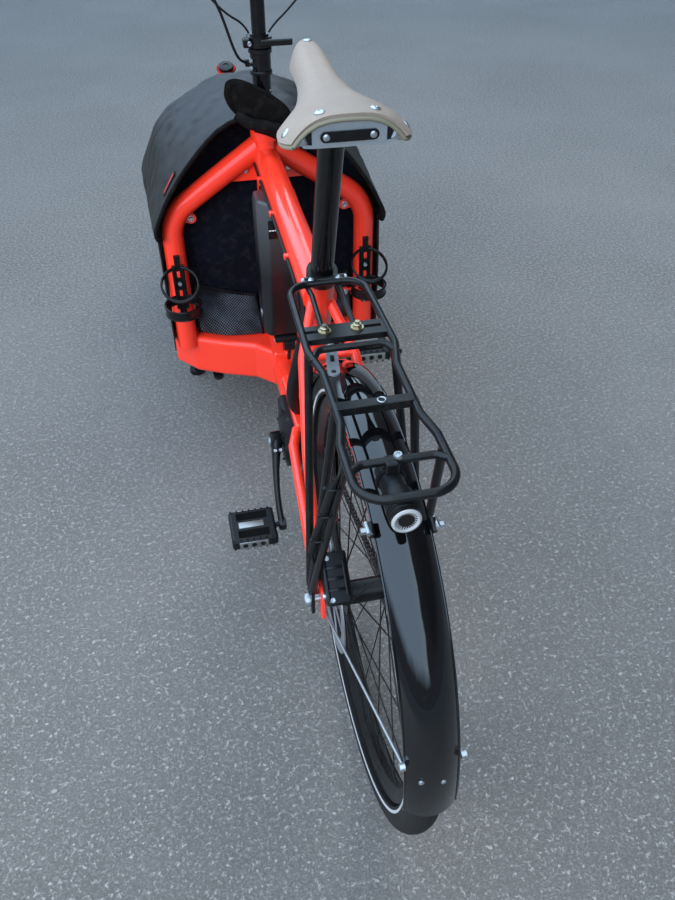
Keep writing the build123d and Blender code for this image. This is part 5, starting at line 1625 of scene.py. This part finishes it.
# Rear caliper: its middle and its slant in degrees; places in it are (along it, out of it, aside)
CALIPER = REAR_AXLE + Vector((-0.0520, -0.032, 0.080))
CALIPER_SLANT = 40
TOP_BOLT, TOP_BOLT_RADIUS = (0.030, 0.0198, -0.011), 0.0042
SIDE_BOLT, SIDE_BOLT_RADIUS = (0.026, 0.0, -0.019), 0.0046
# Adjuster barrel: ends, radius and sides of its two steps; ribs: place, size, bevel; then the cable out of it
BARREL = (((0.037, 0.006), (0.052, 0.012), 0.0042, 20), ((0.052, 0.012), (0.060, 0.015), 0.0028, 16))
CALIPER_RIBS = (
    ((-0.016, 0.0205), (0.032, 0.0045, 0.004), 0.001), ((0.0, 0.0205), (0.032, 0.0045, 0.004), 0.001),
    ((0.016, 0.0205), (0.032, 0.0045, 0.004), 0.001), ((0.0, 0.0202, 0.012), (0.005, 0.052, 0.005), 0.0012),
    ((0.0, 0.0202, -0.016), (0.006, 0.060, 0.005), 0.0015),
)
CALIPER_CABLE = ((0.060, 0.015), (0.078, 0.030, 0.006), (0.080, 0.062, 0.010))
# Rubber sleeve on the rack's leg
LEG_SLEEVE = ((-0.0715, -0.106, 0.690), (-0.0770, -0.082, 0.625), (-0.0835, -0.057, 0.560),
              (-0.0880, -0.043, 0.512))


def brake_details():
    """Rear caliper: bolts, pad slots, adjuster barrel with its cable, and the sleeve on the rack's leg."""
    turn = Matrix.Rotation(radians(CALIPER_SLANT), 4, "X")
    along, out = axis_down(CALIPER_SLANT), axis_down(CALIPER_SLANT + 90)

    def spot(forward, up, aside=0.0):
        return CALIPER + along * forward + out * up + Vector((aside, 0, 0))

    bolts, ribs = Piece("caliper_bolts"), Piece("caliper_ribs")
    for k in SIDES:
        forward, up, aside = TOP_BOLT
        bolts.bolt(spot(forward * k, up, aside), out, TOP_BOLT_RADIUS)
        forward, up, aside = SIDE_BOLT
        bolts.bolt(spot(forward * k, up, aside) + Vector((0, 0, 0.004)), (-1, 0, 0), SIDE_BOLT_RADIUS)
    for start, end, radius, sides in BARREL:
        bolts.rod(spot(*start), spot(*end), radius, sides=sides)
    for place, size, bevel in CALIPER_RIBS:
        ribs.box(spot(*place), size, turn, bevel)
    tube_along(ribs, smooth_line([spot(*p) for p in CALIPER_CABLE], 6), 0.0016)
    bolts.done("steel")
    ribs.done("gloss_plastic")
    wrap = Piece("leg_sleeve")
    tube_along(wrap, smooth_line([at(*p) for p in LEG_SLEEVE], 6), 0.0052, 12)
    wrap.done("rubber")


# Routes of the hoses at the handlebar, then of the cables clipped along the frame: name, radius, points
BAR_HOSES = (
    ("brake_hose", 0.0026, ((-0.150, 0.926, 1.128), (-0.138, 0.880, 1.098), (-0.104, 0.858, 1.046),
                            (-0.078, 0.862, 0.998), (-0.066, 0.872, 0.960), (-0.053, 0.884, 0.916),
                            (-0.040, 0.900, 0.891), (-0.026, 0.911, 0.886))),
    ("left_cable", 0.0020, ((-0.156, 0.934, 1.122), (-0.128, 0.930, 1.070), (-0.096, 0.914, 1.010),
                            (-0.060, 0.918, 0.972), (-0.026, 0.938, 0.950), (-0.008, 0.942, 0.915),
                            (-0.005, 0.940, 0.880), (-0.005, 0.937, 0.862))),
    ("right_cable", 0.0020, ((0.150, 0.926, 1.128), (0.132, 0.918, 1.076), (0.100, 0.934, 1.010),
                             (0.066, 0.950, 0.968), (0.034, 0.952, 0.942), (0.010, 0.945, 0.912),
                             (0.005, 0.940, 0.884), (0.005, 0.937, 0.862))),
)
FRAME_CABLES = (
    ("tube_cable", 0.0026, ((-0.0303, 0.884, 0.696), (-0.0303, 0.780, 0.695), (-0.0303, 0.640, 0.694),
                            (-0.0303, 0.500, 0.692), (-0.0303, 0.380, 0.690), (-0.028, 0.362, 0.664),
                            (-0.025, 0.383, 0.620), (-0.019, 0.400, 0.573), (-0.016, 0.404, 0.552))),
    ("cable_bundle", 0.0120, ((-0.016, 0.403, 0.562), (-0.026, 0.410, 0.510), (-0.037, 0.414, 0.462),
                              (-0.038, 0.424, 0.420), (-0.030, 0.438, 0.387), (-0.020, 0.450, 0.366))),
    ("leg_cable", 0.0024, ((-0.0668, -0.116, 0.716), (-0.0736, -0.088, 0.640), (-0.083, -0.055, 0.560),
                           (-0.089, -0.040, 0.510), (-0.084, -0.034, 0.480))),
)


# Enamelled clips that hold the tube cable, (y, height), and ties round the leg cable, (x, y, height)
CLIPS = ((0.800, 0.6955), (0.640, 0.694), (0.470, 0.692))
CABLE_TIES = ((-0.0690, -0.105, 0.690), (-0.0730, -0.082, 0.622), (-0.0785, -0.058, 0.552))


def cables():
    """Free hoses of the handlebar, and the cables held along the frame with their clips and ties."""
    for name, radius, route in BAR_HOSES:
        points = [at(*p) for p in route]
        hose = cable_curve(name, points, radius, "rubber", "handlebar")
    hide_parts("bar_hoses")
    for name, radius, route in FRAME_CABLES:
        cable_curve(name, [at(*p) for p in route], radius, "rubber")
    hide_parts("frame_cables")
    clips = Piece("cable_clips")
    for y, z in CLIPS:
        clips.box(at(-0.0300, y, z), (0.010, 0.012, 0.009), None, 0.002)
    clips.done("paint")
    ties = Piece("cable_ties")
    for x, y, z in CABLE_TIES:
        ties.ring(at(x, y, z), (0.05, -0.35, -1), 0.0088, 0.0014, 28, 6)
        ties.box(at(x - 0.010, y, z), (0.006, 0.005, 0.004), None, 0.001)
    ties.done("plastic")


camera()
studio()
dress_frame()
cables()
cover()
rear_panel()
side_walls()
saddle()
tyres()
chain()
battery()
cage_details()
frame_fasteners()
mast_sleeve()
fender_details()
lamps()
pedals()
steering_details()
head_cap()
motor_covers()
crank_details()
grip_ribs()
brake_details()
